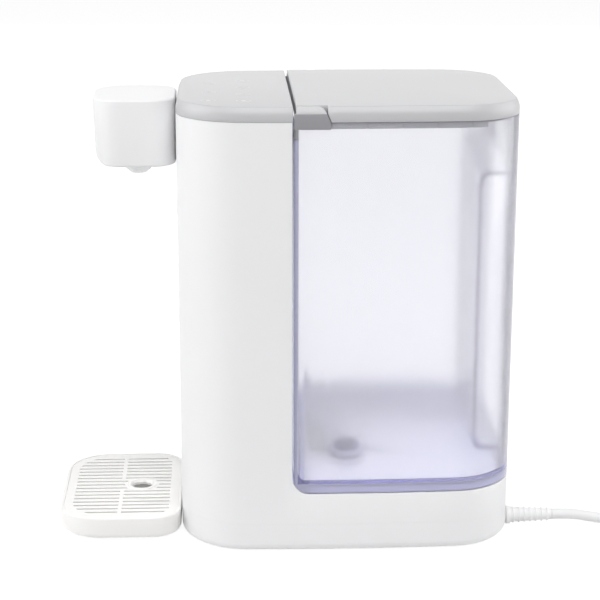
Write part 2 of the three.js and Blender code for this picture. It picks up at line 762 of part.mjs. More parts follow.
// Tank: clear shell with a hand recess at its rear, a lowered front rim and a hole for the valve.
function rearRecess(growth) {
  const [x0, y0] = [bodyLength - gripDepth - growth, gripHalfWidth + growth];
  const geometry = sideProfile([
    [bodyLength + overrun, gripBottom - growth], [bodyLength + overrun, gripTop + growth],
    ...arc(x0 + gripCorner, gripTop + growth - gripCorner, gripCorner, Math.PI / 2, Math.PI, edgeSteps),
    ...arc(x0 + gripCorner, gripBottom - growth + gripCorner, gripCorner, Math.PI, Math.PI * 1.5, edgeSteps),
  ], -y0, y0);
  return geometry;
}
function frontRounded(front, bottom, radius) {
  return sideProfile([
    [bodyLength + overrun, bottom], [bodyLength + overrun, bodyHeight + overrun], [front, bodyHeight + overrun],
    ...arc(front + radius, bottom + radius, radius, Math.PI, Math.PI * 1.5),
  ], -bodyWidth, bodyWidth);
}
function makeTank() {
  const outer = tankBlock([...bottomEdge(tankBottomEdge, tankBottom, 1), [0, rimHeight]])
    .intersect(frontRounded(tankFront, tankBottom, tankFillet));
  const inner = tankBlock([[tankWall, tankFloorTop], [tankWall, rimHeight + overrun]])
    .intersect(frontRounded(tankFront + tankWall, tankFloorTop, tankFillet - tankWall));
  const under = tankBlock([[tankWall, tankBottom - overrun], [tankWall, tankFloorTop - tankFloor]])
    .intersect(box(tankFront + tankFillet, bodyLength, -bodyWidth, bodyWidth, 0, rimHeight));
  const notch = box(tankFront - overrun, tankFront + tankWall + gap, -earInside, earInside,
    rimHeight - rimNotch, rimHeight + overrun);
  const corners = [-1, 1].map((side) => box(tankFront - overrun, tankFront + earFootDepth + gap,
    Math.min(side * bodyWidth, side * (earInside - gap)), Math.max(side * bodyWidth, side * (earInside - gap)),
    rimHeight - earFootDrop - gap, rimHeight + overrun));
  const valveHole = bar('z', valveRadius + gap, tankBottom - overrun, tankFloorTop + overrun, valveX, valveY);
  return cut(outer, cut(inner, rearRecess(tankWall)), rearRecess(0), under, notch, ...corners, valveHole);
}
add('tank', makeTank(), clearPlastic);

// Collar: grey band on the tank's rim, open at the front, with two ears for the lid's pins.
const lidLevels = (bottom) => [[0, bottom], ...topEdge(capEdge, lidTop - lidCrown), [crownInset, lidTop]];
function makeCollar() {
  const band = tankBlock([[0, collarBottom], [0, collarTop]]);
  const tongueLow = rimHeight - collarTongue;
  const upstand = tankBlock([[collarInset, tongueLow], [collarInset, collarTop + collarRise]]);
  const inner = tankBlock([[collarWall, tongueLow - overrun], [collarWall, lidTop + overrun]]);
  const openTo = tankFront + lidStand + tankCorner + collarWall / 2;
  const front = box(0, openTo, -earInside, earInside, 0, lidTop + overrun);
  const earTop = pinHeight + earRadius;
  const profile = [
    [lidFront, collarTop - collarBand / 2], [pinX + earRadius, collarTop - collarBand / 2],
    ...arc(pinX, pinHeight, earRadius, 0, Math.PI / 2), [lidFront, earTop],
  ];
  const earSpans = [[-bodyWidth, -earInside], [earInside, bodyWidth]];
  const ears = earSpans.map(([y0, y1]) => (
    sideProfile(profile, y0, y1).intersect(machineBlock(lidLevels(collarBottom)))
  ));
  const footBlock = tankBlock([[0, rimHeight - earFootDrop], [0, collarTop - collarBand / 2]]);
  const feet = earSpans.map(([y0, y1]) => (
    box(0, tankFront + earFootDepth, y0, y1, 0, collarTop).intersect(footBlock)
  ));
  const depth = earInside + pinReach + gap;
  const pinHole = bar('y', pinRadius + gap, -depth, depth, pinX, pinHeight, smallSides);
  return cut(join(cut(join(band, upstand), inner, front), ...ears, ...feet), pinHole);
}
add('tank_collar', makeCollar(), greyPlastic);

// Lid: crowned plate with a lip over the collar, narrower in front of its pins.
const cheek = earInside - swingGap;
const crownFoot = lidTop - lidCrown;
function makeLid() {
  const shape = sideProfile([
    [lidFront, 0], [bodyLength + overrun, 0], [bodyLength + overrun, lidTop + overrun],
    [lidFront + overrun, lidTop + overrun], [lidFront + overrun, crownFoot],
    ...arc(lidFront + lidFrontEdge, crownFoot - lidFrontEdge, lidFrontEdge, Math.PI / 2, Math.PI, edgeSteps),
  ], -bodyWidth, bodyWidth);
  const outer = machineBlock(lidLevels(lidBottom)).intersect(shape);
  const inner = machineBlock([[lidPlate, 0], [lidPlate, crownFoot - lidPlate]])
    .intersect(box(lidFront + lidPlate, bodyLength, -bodyWidth, bodyWidth, 0, lidTop));
  const lipStart = pinX + lipSetback;
  const sides = [[-bodyWidth, -cheek], [cheek, bodyWidth]].map(([y0, y1]) => (
    box(0, lipStart, y0, y1, 0, lidTop + overrun)
  ));
  const knuckleTop = crownFoot - lidPlate / 2;
  const knuckleSpans = [[-cheek, knuckleWidth - cheek], [cheek - knuckleWidth, cheek]];
  const knuckles = knuckleSpans.map(([y0, y1]) => sideProfile([
    ...arc(pinX, pinHeight, knuckleRadius, Math.PI, Math.PI * 2),
    [pinX + knuckleRadius, knuckleTop], [pinX - knuckleRadius, knuckleTop],
  ], y0, y1));
  const pinHoles = bar('y', pinRadius + gap, -bodyWidth, bodyWidth, pinX, pinHeight, smallSides);
  return cut(join(cut(outer, inner, ...sides), ...knuckles), pinHoles);
}
add('lid', makeLid(), greyPlastic);

[['near', -1], ['far', 1]].forEach(([word, side]) => {
  const ends = [side * (cheek - knuckleWidth), side * (earInside + pinReach)];
  const pin = bar('y', pinRadius, Math.min(...ends), Math.max(...ends), pinX, pinHeight, smallSides);
  add(`lid_pin_${word}`, pin, steel);
});

function makeLidSeal() {
  const top = crownFoot - lidPlate - gap;
  const [outside, inside] = [lidPlate + gap, collarWall];
  const keep = (front) => box(front, bodyLength, -bodyWidth, bodyWidth, 0, lidTop);
  const start = pinX + lipSetback;
  const outer = machineBlock([[outside, collarTop + collarRise + gap], [outside, top]]).intersect(keep(start));
  const inner = machineBlock([[inside, 0], [inside, lidTop]]).intersect(keep(start + inside - outside));
  return cut(outer, inner);
}
add('lid_seal', makeLidSeal(), silicone);

// Foot valve of the tank.
const valveBottom = deckHeight - valveDrop;
const flangeLow = tankFloorTop + gap;
const flangeHigh = flangeLow + valveFlangePlate;
const valveInside = valveRadius - valveWall;
add('valve_housing', turned('z', [
  [valveInside, valveBottom], [valveRadius, valveBottom], [valveRadius, flangeLow],
  [valveRadius + valveFlange, flangeLow], [valveRadius + valveFlange, flangeHigh], [valveInside, flangeHigh],
  [valveInside, seatHeight], [seatRadius, seatHeight], [seatRadius, seatHeight - seatPlate],
  [valveInside, seatHeight - seatPlate], [valveInside, valveBottom],
], valveX, valveY), palePlastic);

const discLow = seatHeight + plungerLift;
const discHigh = discLow + plungerDiscPlate;
const stemLow = seatHeight - stemDrop;
add('valve_plunger', turned('z', [
  [0, stemLow], [plungerStem, stemLow], [plungerStem, discLow], [plungerDisc, discLow], [plungerDisc, discHigh],
  [0, discHigh],
], valveX, valveY, smallSides), darkPlastic);

const strainerLow = flangeHigh + gap;
const strainerHigh = strainerLow + strainerHeight;
function makeStrainer() {
  const inside = strainerRadius - strainerWall;
  const cup = turned('z', [
    [inside, strainerLow], [strainerRadius, strainerLow], [strainerRadius, strainerHigh - strainerWall],
    [inside, strainerHigh], [0, strainerHigh], [0, strainerHigh - strainerWall],
    [inside, strainerHigh - strainerWall], [inside, strainerLow],
  ], valveX, valveY);
  const slots = Array.from({ length: strainerSlots }, (_, i) => {
    const angle = (i / strainerSlots) * 360;
    return box(strainerHub, inside - strainerWall / 2, -strainerSlotWidth / 2, strainerSlotWidth / 2,
      strainerLow, strainerHigh + overrun).rotate([0, 0, angle]).translate([valveX, valveY, 0]);
  });
  return cut(cup, ...slots);
}
add('strainer', makeStrainer(), darkPlastic);

// The spring between the plunger and the strainer, one unbroken wire.
function makeSpring() {
  const low = discHigh + gap + springWire;
  const high = strainerHigh - strainerWall - gap - springWire;
  const steps = springTurns * springSteps;
  const route = Array.from({ length: steps + 1 }, (_, i) => {
    const angle = (i / springSteps) * Math.PI * 2;
    return [
      valveX + springRadius * Math.cos(angle), valveY + springRadius * Math.sin(angle),
      low + (high - low) * (i / steps),
    ];
  });
  return tube(route, springWire, springSides, steps);
}
add('valve_spring', makeSpring(), steel);

// The machine's half of the coupling: a socket in the deck, with a post that lifts the plunger.
const socketInside = valveRadius + gap;
const socketOutside = socketInside + couplingWall;
const socketFloor = deckHeight - couplingDepth;
function makeCoupling() {
  const flangeTop = deckHeight + couplingPlate / 2 - gap;
  const flangeFoot = deckHeight - couplingPlate / 2 + gap;
  const spigotLow = socketFloor - couplingWall - spigotLength;
  const body = turned('z', [
    [nozzleBore, spigotLow], [spigotRadius, spigotLow], [spigotRadius, socketFloor - couplingWall],
    [socketOutside, socketFloor - couplingWall], [socketOutside, flangeFoot],
    [socketOutside + couplingFlange, flangeFoot], [socketOutside + couplingFlange, flangeTop],
    [socketInside + sealWire * 2, flangeTop], [socketInside + sealWire * 2, flangeTop - sealWire * 2],
    [socketInside, flangeTop - sealWire * 2], [socketInside, socketFloor], [nozzleBore, socketFloor],
    [nozzleBore, spigotLow],
  ], valveX, valveY);
  const post = bar('z', plungerStem, socketFloor - couplingWall / 2, stemLow - gap, valveX, valveY, smallSides);
  const bridgeHalf = nozzleBore + plungerStem;
  const bridge = box(valveX - bridgeHalf, valveX + bridgeHalf, valveY - plungerStem / 2,
    valveY + plungerStem / 2, socketFloor - couplingWall, socketFloor + plungerStem);
  return join(body, bridge, post);
}
add('tank_coupling', makeCoupling(), palePlastic);

function ring(z, radius, wire, x, y) {
  const geometry = new THREE.TorusGeometry(radius, wire, sealSides, roundSides);
  return solid(geometry.translate(x, y, z));
}
const sealHeight = deckHeight + couplingPlate / 2 - gap - sealWire;
const seatedWire = sealWire * sealSqueezeShare;
add('coupling_seal', ring(sealHeight, valveRadius + gap + sealWire, seatedWire, valveX, valveY), rubber);

// Sensing of the seated tank.
const magnetTop = tankFloorTop - tankFloor - gap;
const magnetPlan = roundedPlan({
  front: reedX - tankMagnetWidth / 2, rear: reedX + tankMagnetWidth / 2, half: tankMagnetLength / 2,
  frontRound: tankMagnetCorner, rearRound: tankMagnetCorner,
});
add('tank_magnet', stack([
  { points: magnetPlan, z: magnetTop - tankMagnetPlate }, { points: magnetPlan, z: magnetTop },
]), steel);
const reedTop = deckHeight - shellWall - gap;
add('reed_switch', box(reedX - reedWidth / 2, reedX + reedWidth / 2, -reedLength / 2, reedLength / 2,
  reedTop - reedHeight, reedTop), darkPlastic);

// Pump on its cradle.
const headEnd = pumpX + pumpHead;
function makePumpHead() {
  const head = turned('x', [
    [0, pumpX], [pumpRadius, pumpX], [pumpRadius, headEnd], [pumpRadius - pumpWall, headEnd],
    [pumpRadius - pumpWall, pumpX + pumpWall], [0, pumpX + pumpWall],
  ], pumpY, pumpHeight);
  const portX = pumpX + pumpHead / 2;
  const inlet = bar('x', pumpPort, pumpX - pumpPortLength, pumpX + pumpWall / 2, pumpY, pumpHeight, smallSides);
  const outlet = bar('y', pumpPort, pumpY + pumpRadius - pumpWall / 2, pumpY + pumpRadius + pumpPortLength,
    portX, pumpHeight, smallSides);
  const inletBore = bar('x', pumpPortBore, pumpX - pumpPortLength - overrun, pumpX + pumpWall + gap, pumpY,
    pumpHeight, smallSides);
  const outletBore = bar('y', pumpPortBore, pumpY + pumpRadius - pumpWall - gap,
    pumpY + pumpRadius + pumpPortLength + overrun, portX, pumpHeight, smallSides);
  return cut(join(head, inlet, outlet), inletBore, outletBore);
}
add('pump_head', makePumpHead(), darkPlastic);

const motorStart = headEnd + gap;
add('pump_motor', cut(
  bar('x', motorRadius, motorStart, motorStart + motorLength, pumpY, pumpHeight),
  bar('x', shaftRadius + gap, motorStart - overrun, motorStart + shaftSeat, pumpY, pumpHeight, smallSides),
), steel);

function makeRotor() {
  const back = headEnd - pumpWall;
  const disc = bar('x', impellerRadius, back - impellerPlate, back, pumpY, pumpHeight);
  const shaft = bar('x', shaftRadius, back - impellerPlate - vaneHeight, motorStart + shaftSeat - gap, pumpY,
    pumpHeight, smallSides);
  const vanes = Array.from({ length: vaneCount }, (_, i) => (
    box(back - impellerPlate - vaneHeight, back - impellerPlate / 2, -vaneWall / 2, vaneWall / 2,
      shaftRadius / 2, impellerRadius - vaneWall)
      .rotate([(i / vaneCount) * 360, 0, 0]).translate([0, pumpY, pumpHeight])
  ));
  return join(disc, shaft, ...vanes);
}
add('pump_rotor', makeRotor(), brass);

function makePumpMount() {
  const x0 = motorStart + (motorLength - mountLength) / 2;
  const block = box(x0, x0 + mountLength, pumpY - mountWidth / 2, pumpY + mountWidth / 2, baseFloor + gap,
    pumpHeight - motorRadius / 2);
  return cut(block, bar('x', motorRadius + gap, x0 - overrun, x0 + mountLength + overrun, pumpY, pumpHeight));
}
add('pump_mount', makePumpMount(), rubber);

// Heater with its caps, bracket and sensors.
add('heater', bar('z', heaterRadius, heaterBottom, heaterTop, heaterX, heaterY), steel);
const capPairs = [
  [0, 0], [spigotRadius, 0], [spigotRadius, heaterSpigot], [heaterCapRadius, heaterSpigot],
  [heaterCapRadius, heaterSpigot + heaterCap], [heaterRadius + gap, heaterSpigot + heaterCap],
  [heaterRadius + gap, heaterSpigot + heaterCap / 2], [0, heaterSpigot + heaterCap / 2],
];
const capShift = heaterBottom - gap - heaterSpigot - heaterCap / 2;
add('heater_cap_bottom', turned('z', capPairs.map(([r, z]) => [r, capShift + z]), heaterX, heaterY),
  darkPlastic);
const capCrown = heaterTop + gap + heaterSpigot + heaterCap / 2;
add('heater_cap_top', turned('z', capPairs.map(([r, z]) => [r, capCrown - z]).reverse(), heaterX, heaterY),
  darkPlastic);

function makeBracket() {
  const z0 = heaterBottom + (heaterLength - bracketHeight) / 2;
  const z1 = z0 + bracketHeight;
  const back = innerColumn - gap;
  const plate = box(back - bracketWall, back, heaterY - bracketHalfWidth, heaterY + bracketHalfWidth, z0, z1);
  const hoop = bar('z', heaterRadius + gap + bracketWall, z0, z1, heaterX, heaterY);
  const arm = box(heaterX + heaterRadius, back - bracketWall / 2, heaterY - bracketWall, heaterY + bracketWall,
    z0, z1);
  const hole = bar('z', heaterRadius + gap, z0 - overrun, z1 + overrun, heaterX, heaterY);
  return cut(join(plate, hoop, arm), hole);
}
add('heater_bracket', makeBracket(), steel);

cutoutShares.forEach((heightShare, i) => {
  const end = heaterY - heaterRadius - gap;
  add(`thermal_cutout_${i + 1}`, bar('y', cutoutRadius, end - cutoutLength, end, heaterX,
    heaterBottom + heaterLength * heightShare), darkPlastic);
});
const sensorEnd = heaterX - heaterCapRadius - gap;
add('outlet_sensor', bar('x', sensorRadius, sensorEnd - sensorLength, sensorEnd, heaterY,
  heaterTop + gap, smallSides), brass);

// Power board: each part on it as shares of the board's depth and height, and its own height off the face.
const boardPartShares = [
  [[0.1, 0.5], [0.68, 0.9], relayHeight], [[0.12, 0.6], [0.36, 0.58], transformerHeight],
  [[0.58, 0.82], [0.64, 0.92], heatSinkHeight], [[0.55, 0.82], [0.06, 0.22], terminalHeight],
];
const capacitorShares = [0.3, 0.18];
function makePowerBoard() {
  const x1 = innerColumn - gap;
  const x0 = x1 - powerBoardDepth;
  const face = powerBoardY - boardWall;
  const root = face + boardWall / 2;
  const z = (share) => powerBoardBottom + powerBoardHeight * share;
  const x = (share) => x0 + powerBoardDepth * share;
  const plate = box(x0, x1, face, powerBoardY, z(0), z(1));
  const parts = boardPartShares.map(([[left, right], [low, high], height]) => (
    box(x(left), x(right), face - height, root, z(low), z(high))
  ));
  const [across, up] = capacitorShares;
  const capacitor = bar('y', capacitorRadius, face - capacitorHeight, root, x(across), z(up));
  return join(plate, ...parts, capacitor);
}
add('power_board', makePowerBoard(), boardGreen);

// Water tubes, as routes between the spigots that they join.
const portFace = pumpX - pumpPortLength - gap;
const outletFace = pumpY + pumpRadius + pumpPortLength + gap;
const spigotFace = socketFloor - couplingWall - spigotLength - gap;
const lowTube = baseFloor + tubeRadius + gap * 4;
add('inlet_tube', tube([
  [valveX, valveY, spigotFace], [valveX, valveY, spigotFace - tubeRadius / 2],
  [valveX - tubeRadius, valveY + tubeRadius * 2, lowTube],
  [valveX - tubeRadius * 3, valveY + tubeRadius * 6, lowTube],
  [portFace - tubeRadius * 4, pumpY - tubeRadius * 3, (lowTube + pumpHeight) / 2],
  [portFace - tubeRadius * 2, pumpY, pumpHeight], [portFace, pumpY, pumpHeight],
], tubeRadius, tubeSides, inletTubeSteps), silicone);

const outletX = pumpX + pumpHead / 2;
const riser = capShift - gap;
add('pump_tube', tube([
  [outletX, outletFace, pumpHeight], [outletX, outletFace + tubeRadius / 2, pumpHeight],
  [outletX - tubeRadius / 2, outletFace + tubeRadius * elbowShare, pumpHeight],
  [outletX - tubeRadius * 2, outletFace + tubeRadius * 2, pumpHeight],
  [(outletX + heaterX) / 2, outletFace, pumpHeight],
  [heaterX + tubeRadius * 3, outletFace - tubeRadius, pumpHeight],
  [heaterX, heaterY + tubeRadius * 4, (pumpHeight * 2 + riser) / 3],
  [heaterX, heaterY, (pumpHeight + riser * 2) / 3], [heaterX, heaterY, riser],
], tubeRadius, tubeSides, pumpTubeSteps), silicone);

const neckMiddle = neckTop - neckHeight / 2;
const spoutTubeStart = capCrown + gap;
add('spout_tube', tube([
  [heaterX, heaterY, spoutTubeStart], [heaterX, heaterY, spoutTubeStart + tubeRadius / 2],
  [heaterX - tubeRadius * 2, heaterY / 2, neckMiddle], [shellWall + tubeRadius, 0, neckMiddle],
  [-spoutStandOff - tubeRadius, 0, neckMiddle], [tubeRadius * 2 - nozzleReach, 0, neckMiddle],
  [tubeRadius / 2 - nozzleReach, 0, neckMiddle - tubeRadius / 2],
  [-nozzleReach, 0, neckMiddle - tubeRadius * elbowShare], [-nozzleReach, 0, nozzleTop + gap],
], tubeRadius, tubeSides, spoutTubeSteps), silicone);

// Strain relief in the base's rear wall.
add('strain_relief', join(
  turned('x', [
    [0, reliefInside - reliefCollarPlate / 2], [reliefNeck, reliefInside - reliefCollarPlate / 2],
    [reliefNeck, bodyLength + gap], [reliefRadius, bodyLength + gap], [reliefTipRadius, reliefTip],
    [0, reliefTip],
  ], reliefY, reliefHeight),
  box(reliefInside - reliefCollarPlate, reliefInside, reliefY - reliefCollar, reliefY + reliefCollar,
    baseFloor + gap, reliefHeight + reliefCollar),
), cordWhite);

// Mains lead: the free stretch on the table.
add('mains_cord', tube(cordRoute, cordDiameter / 2, cordSides, cordSteps), cordWhite);

// The rest of the lead, wound in two layers: in along the table, up at the reversal, and out on top.
const coilIn = coilRadius - layerRise * coilTurns;
const reversalTurns = 0.5; // the climb to the upper layer takes half a turn
const reversalDip = layerRise / 8; // how far that half turn dips inside the innermost loop
function coilPoint(turns) {
  const reversal = turns - coilTurns;
  const rise = THREE.MathUtils.smoothstep(reversal, 0, reversalTurns);
  let radius = coilRadius - layerRise * turns;
  if (reversal > 0) radius = coilIn - layerRise * reversal * (1 - reversal / reversalTurns);
  if (reversal > reversalTurns) radius = coilIn + layerRise * (reversal - reversalTurns);
  const angle = turns * Math.PI * 2 - Math.PI / 2;
  return new THREE.Vector3(
    coilX + radius * Math.cos(angle), coilY + radius * Math.sin(angle), coilHeight + layerRise * rise,
  );
}
const coilTotal = coilTurns * 2 + reversalTurns;
const coilEnd = coilPoint(coilTotal);
function coilRoute() {
  const steps = Math.round(coilTotal * loopSteps);
  const points = Array.from({ length: steps + 1 }, (_, i) => coilPoint((i / steps) * coilTotal));
  const start = points[0].clone();
  points[0].z = coilHeight;
  points.unshift(start.clone().setX(start.x - cordDiameter / 2), start.clone().setX(start.x - cordDiameter));
  [points[0], points[1]] = [points[1], points[0]];
  points[0].x += gap;
  points.push(
    coilEnd.clone().setY(coilEnd.y + cordDiameter / 2),
    coilEnd.clone().setY(coilEnd.y + cordDiameter),
  );
  return points;
}
function makeCoil() {
  const points = coilRoute();
  let least = Infinity;
  points.forEach((p, i) => {
    for (let j = i + Math.round(loopSteps / 2); j < points.length; j += 1) {
      least = Math.min(least, p.distanceTo(points[j]) - cordDiameter);
    }
  });
  console.log(`cord coil: least gap to itself ${least.toFixed(2)} mm`);
  const up = new THREE.Vector3(0, 0, 1);
  const positions = [];
  const index = [];
  points.forEach((p, i) => {
    const before = points[Math.max(i - 1, 0)];
    const after = points[Math.min(i + 1, points.length - 1)];
    const along = after.clone().sub(before).normalize();
    const across = new THREE.Vector3().crossVectors(along, up).normalize();
    const lift = new THREE.Vector3().crossVectors(across, along);
    for (let k = 0; k < loopSides; k += 1) {
      const angle = (k / loopSides) * Math.PI * 2;
      const at = p.clone().addScaledVector(across, Math.cos(angle) * cordDiameter / 2)
        .addScaledVector(lift, Math.sin(angle) * cordDiameter / 2);
      positions.push(at.x, at.y, at.z);
    }
  });
  for (let i = 0; i + 1 < points.length; i += 1) {
    for (let k = 0; k < loopSides; k += 1) {
      const [a, b] = [i * loopSides + k, i * loopSides + (k + 1) % loopSides];
      index.push(a, b + loopSides, b, a, a + loopSides, b + loopSides);
    }
  }
  const last = (points.length - 1) * loopSides;
  for (let k = 1; k + 1 < loopSides; k += 1) {
    index.push(0, k, k + 1, last, last + k + 1, last + k);
  }
  const geometry = new THREE.BufferGeometry();
  geometry.setAttribute('position', new THREE.Float32BufferAttribute(positions, 3));
  geometry.setIndex(index);
  return geometry;
}
add('cord_coil', makeCoil(), cordWhite);

function makeTie() {
  const inside = coilIn - reversalDip - cordDiameter / 2 - gap;
  const outside = coilRadius + cordDiameter / 2 + gap;
  const top = coilTopHeight + cordDiameter / 2 + gap;
  const [x0, x1] = [coilX - tieWidth / 2, coilX + tieWidth / 2];
  const outer = box(x0, x1, coilY + inside - tieWall, coilY + outside + tieWall, 0, top + tieWall);
  const inner = box(x0 - overrun, x1 + overrun, coilY + inside, coilY + outside, tieWall, top);
  return cut(outer, inner);
}
add('coil_tie', makeTie(), darkPlastic);

// Plug with three flat pins, lying beside the coil.
const plugStart = coilEnd.y + cordDiameter + gap;
const plugBack = plugStart + plugRelief;
const plugFace = plugBack + plugLength;
const pinPlaces = [
  [-pinSpread, pinSpread / 2, pinLean], [pinSpread, pinSpread / 2, -pinLean], [0, -earthReach, Math.PI / 2],
];
function pinBlock(grow, from, to, [across, up, lean]) {
  const geometry = new THREE.BoxGeometry(pinWide + grow * 2, to - from, pinThick + grow * 2);
  geometry.rotateY(lean + Math.PI / 2).translate(coilEnd.x + across, (from + to) / 2, coilTopHeight + up);
  return solid(geometry);
}
function makePlug() {
  const outline = (half, high, corner) => roundedPlan({
    front: -half, rear: half, half: high, frontRound: corner, rearRound: corner,
  });
  const level = (half, high, corner, along) => ({ points: outline(half, high, corner), z: along });
  const tip = cordDiameter / 2 + tieWall;
  const flare = tip * reliefFlareShare;
  const [acrossShare, upShare] = shoulderShares;
  const body = stack([
    level(tip, tip, tip - gap, plugStart), level(flare, flare, tip, plugBack - gap),
    level(plugHalfWidth * acrossShare, coilTopHeight * upShare, plugCorner, plugBack + plugCorner),
    level(plugHalfWidth, coilTopHeight, plugCorner, plugBack + plugLength * shoulderEndShare),
    level(plugHalfWidth, coilTopHeight, plugCorner, plugFace),
  ]).rotate([90, 0, 0]).mirror([0, 1, 0]).translate([coilEnd.x, 0, coilTopHeight]);
  return cut(body, ...pinPlaces.map((place) => pinBlock(gap, plugFace - pinSeat, plugFace + overrun, place)));
}
add('plug_body', makePlug(), cordWhite);
pinPlaces.forEach((place, i) => {
  add(`plug_pin_${i + 1}`, pinBlock(0, plugFace - pinSeat + gap, plugFace + pinLength, place), brass);
});

// The part stands on the table with its footprint centred on the origin.
const dispenser = new THREE.Group();
part.position.x = -(bodyLength - trayReach) / 2;
dispenser.add(part);

export default dispenser;
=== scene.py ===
"""Countertop instant hot water dispenser: its visible pieces, finishes, stage and camera.

Drawn in millimetres from the front face of the column, and set in the frame of the solids, in metres.
"""

import math

import bmesh
import bpy
from bpy.props import FloatProperty, FloatVectorProperty, IntProperty, PointerProperty
from mathutils import Matrix, Vector


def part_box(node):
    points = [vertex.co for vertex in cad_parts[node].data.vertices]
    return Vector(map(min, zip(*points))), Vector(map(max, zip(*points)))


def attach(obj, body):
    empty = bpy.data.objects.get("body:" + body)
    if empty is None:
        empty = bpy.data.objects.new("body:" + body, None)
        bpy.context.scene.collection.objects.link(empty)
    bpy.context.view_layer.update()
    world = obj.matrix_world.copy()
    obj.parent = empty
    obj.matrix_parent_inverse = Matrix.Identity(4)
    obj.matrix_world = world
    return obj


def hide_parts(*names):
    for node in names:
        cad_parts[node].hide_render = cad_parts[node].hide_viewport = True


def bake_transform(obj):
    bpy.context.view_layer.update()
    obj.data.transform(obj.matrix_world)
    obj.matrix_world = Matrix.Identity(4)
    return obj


bl_info = {
    "name": "Hot Water Dispenser",
    "version": (1, 0, 0),
    "blender": (4, 5, 0),
    "location": "View3D > Sidebar > Dispenser",
    "description": "Makes the visible pieces of a hot water dispenser over its solids",
    "category": "Object",
}

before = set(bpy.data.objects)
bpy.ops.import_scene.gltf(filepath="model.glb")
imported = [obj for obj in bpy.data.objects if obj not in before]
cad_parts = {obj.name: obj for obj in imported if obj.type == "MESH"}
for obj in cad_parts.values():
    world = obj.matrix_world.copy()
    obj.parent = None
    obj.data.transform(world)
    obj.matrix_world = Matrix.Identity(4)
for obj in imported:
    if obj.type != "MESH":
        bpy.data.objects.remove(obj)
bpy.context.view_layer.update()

MM = 0.001
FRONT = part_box("housing")[0].x  # the column's front face in the frame

GAP = 0.3  # between pieces that come apart
JOINT = 0.04  # between shells that close on each other
MERGE = 1e-4  # points closer than this become one

# How far a cutting shape runs: a little past what it cuts, past both sides, and past everything.
OVER, WIDE, FAR = 9.0, 99.0, 300.0

# The machine, in millimetres.
LENGTH, WIDTH, HEIGHT = 192.8, 145.0, 259.8
FRONT_ROUND, REAR_ROUND, SIDE_SAG = 37.7, 33.8, 3.35  # corners, and how much the sides fall away
WALL = 2.5
FOOT, SEAM, DECK = 1.0, 18.2, 36.6  # heights of the base's lower edge, its joint and the deck
COLUMN, BAY_FILLET = 64.0, 10.0  # the column's rear face, and its round into the deck
BASE_EDGE = 5.5
CAP_LOW = HEIGHT - 8.3
LIP, TONGUE = WALL + GAP, 1.6  # inset and thickness of the lips that reach inside the housing
TANK_FRONT, TANK_WALL, TANK_LOW, TANK_FLOOR = 64.75, 2.4, 36.9, 43.5
COLLAR_LOW, COLLAR_TOP = HEIGHT - 12.1, HEIGHT - 8.4
LID_LOW, LID_TOP, LID_FRONT = COLLAR_TOP + GAP, HEIGHT + 1.6, 66.05
EAR_FRONT = 65.1
CROWN = 1.2  # how far the lid's middle stands above its shoulder
PIN_X, PIN_Z, PIN_BORE = TANK_FRONT + 12.3, LID_TOP - 7.4, 1.8
EAR = WIDTH / 2 - 4.3  # from the middle to the ear's inner face
# Below EAR_SPLIT the ear takes the collar's darker grey, painted shade from the lid.
EAR_SPLIT = HEIGHT - 3.7  # the ear is dark below this height
CHEEK = EAR - 0.5  # from the middle to the lid's outer face beside the ear
SPOUT_TOP, SPOUT_LOW = HEIGHT - 2.4, HEIGHT - 40.8
NECK_TOP, NECK_HIGH, NECK_HALF = SPOUT_TOP - 16.4, 16.0, 15.0  # where the spout passes through the column
SPOUT_REACH, SPOUT_LEAN, SPOUT_HALF = 47.6, 1.2, 28.8
NOZZLE_X, NOZZLE = -22.8, 10.5  # its place and its radius in the cover
TRAY_REACH, TRAY_HALF, TRAY_TOP, TRAY_LIFT, DRAIN_X = 72.6, 54.0, 16.0, 2.9, -25.4
STANDOFF = 0.6  # between the column and what stands before it
SCREWS = [(74.0, -60.0), (74.0, 60.0), (172.0, -46.0), (172.0, 46.0)]
SCREW_CORE, SCREW_HEAD, BOSS = 1.7, 3.2, 4.2  # radii of the screw's bore, its head and its boss
FEET = [(x, y) for x in (34.0, LENGTH - 34.0) for y in (-42.0, 42.0)]
PAD, PAD_TOP = 8.0, 2.2  # radius and height of each foot
MAGNET, MAGNET_SIDE, MAGNET_Z = 3.3, 26.0, 8.6  # radius of the bore, and its place on the tray's joint
VALVE = (98.0, -26.0)
SEAT, BARREL, BARREL_OUT = 33.0, 6.4, 8.0  # the valve's seat, and its barrel inside and outside
PUMP = (112.0, 24.0, 18.5)
HEATER = (32.0, 22.0)
RELIEF = (-37.0, 7.7)
RELIEF_ROOT, SHANK, CLAMP, CLAMP_HALF = LENGTH - 5.7, 4.2, 1.0, 6.0  # where and how it is held in the base
COIL = (318.0, 2.5)
COIL_RADIUS, COIL_TURNS, COIL_LOW = 42.5, 2.375, 4.2
COIL_GAP = 0.6  # between turns and between layers of the coil

# The camera that was fitted to the photograph: its place in mm from the column's front, its turns in
# degrees and its focal length in pixels of a picture that is 600 wide.
CAMERA = (27.614, -999.297, 411.876)
CAMERA_DOWN, CAMERA_YAW, CAMERA_ROLL = 15.624, 2.508, 0.093
FOCAL, PICTURE, SENSOR = 1736.8, 600, 36.0


def linear(code):
    """The linear colour of an sRGB hex value."""
    parts = [int(code[i:i + 2], 16) / 255 for i in (1, 3, 5)]
    return tuple(c / 12.92 if c <= 0.04045 else ((c + 0.055) / 1.055) ** 2.4 for c in parts)


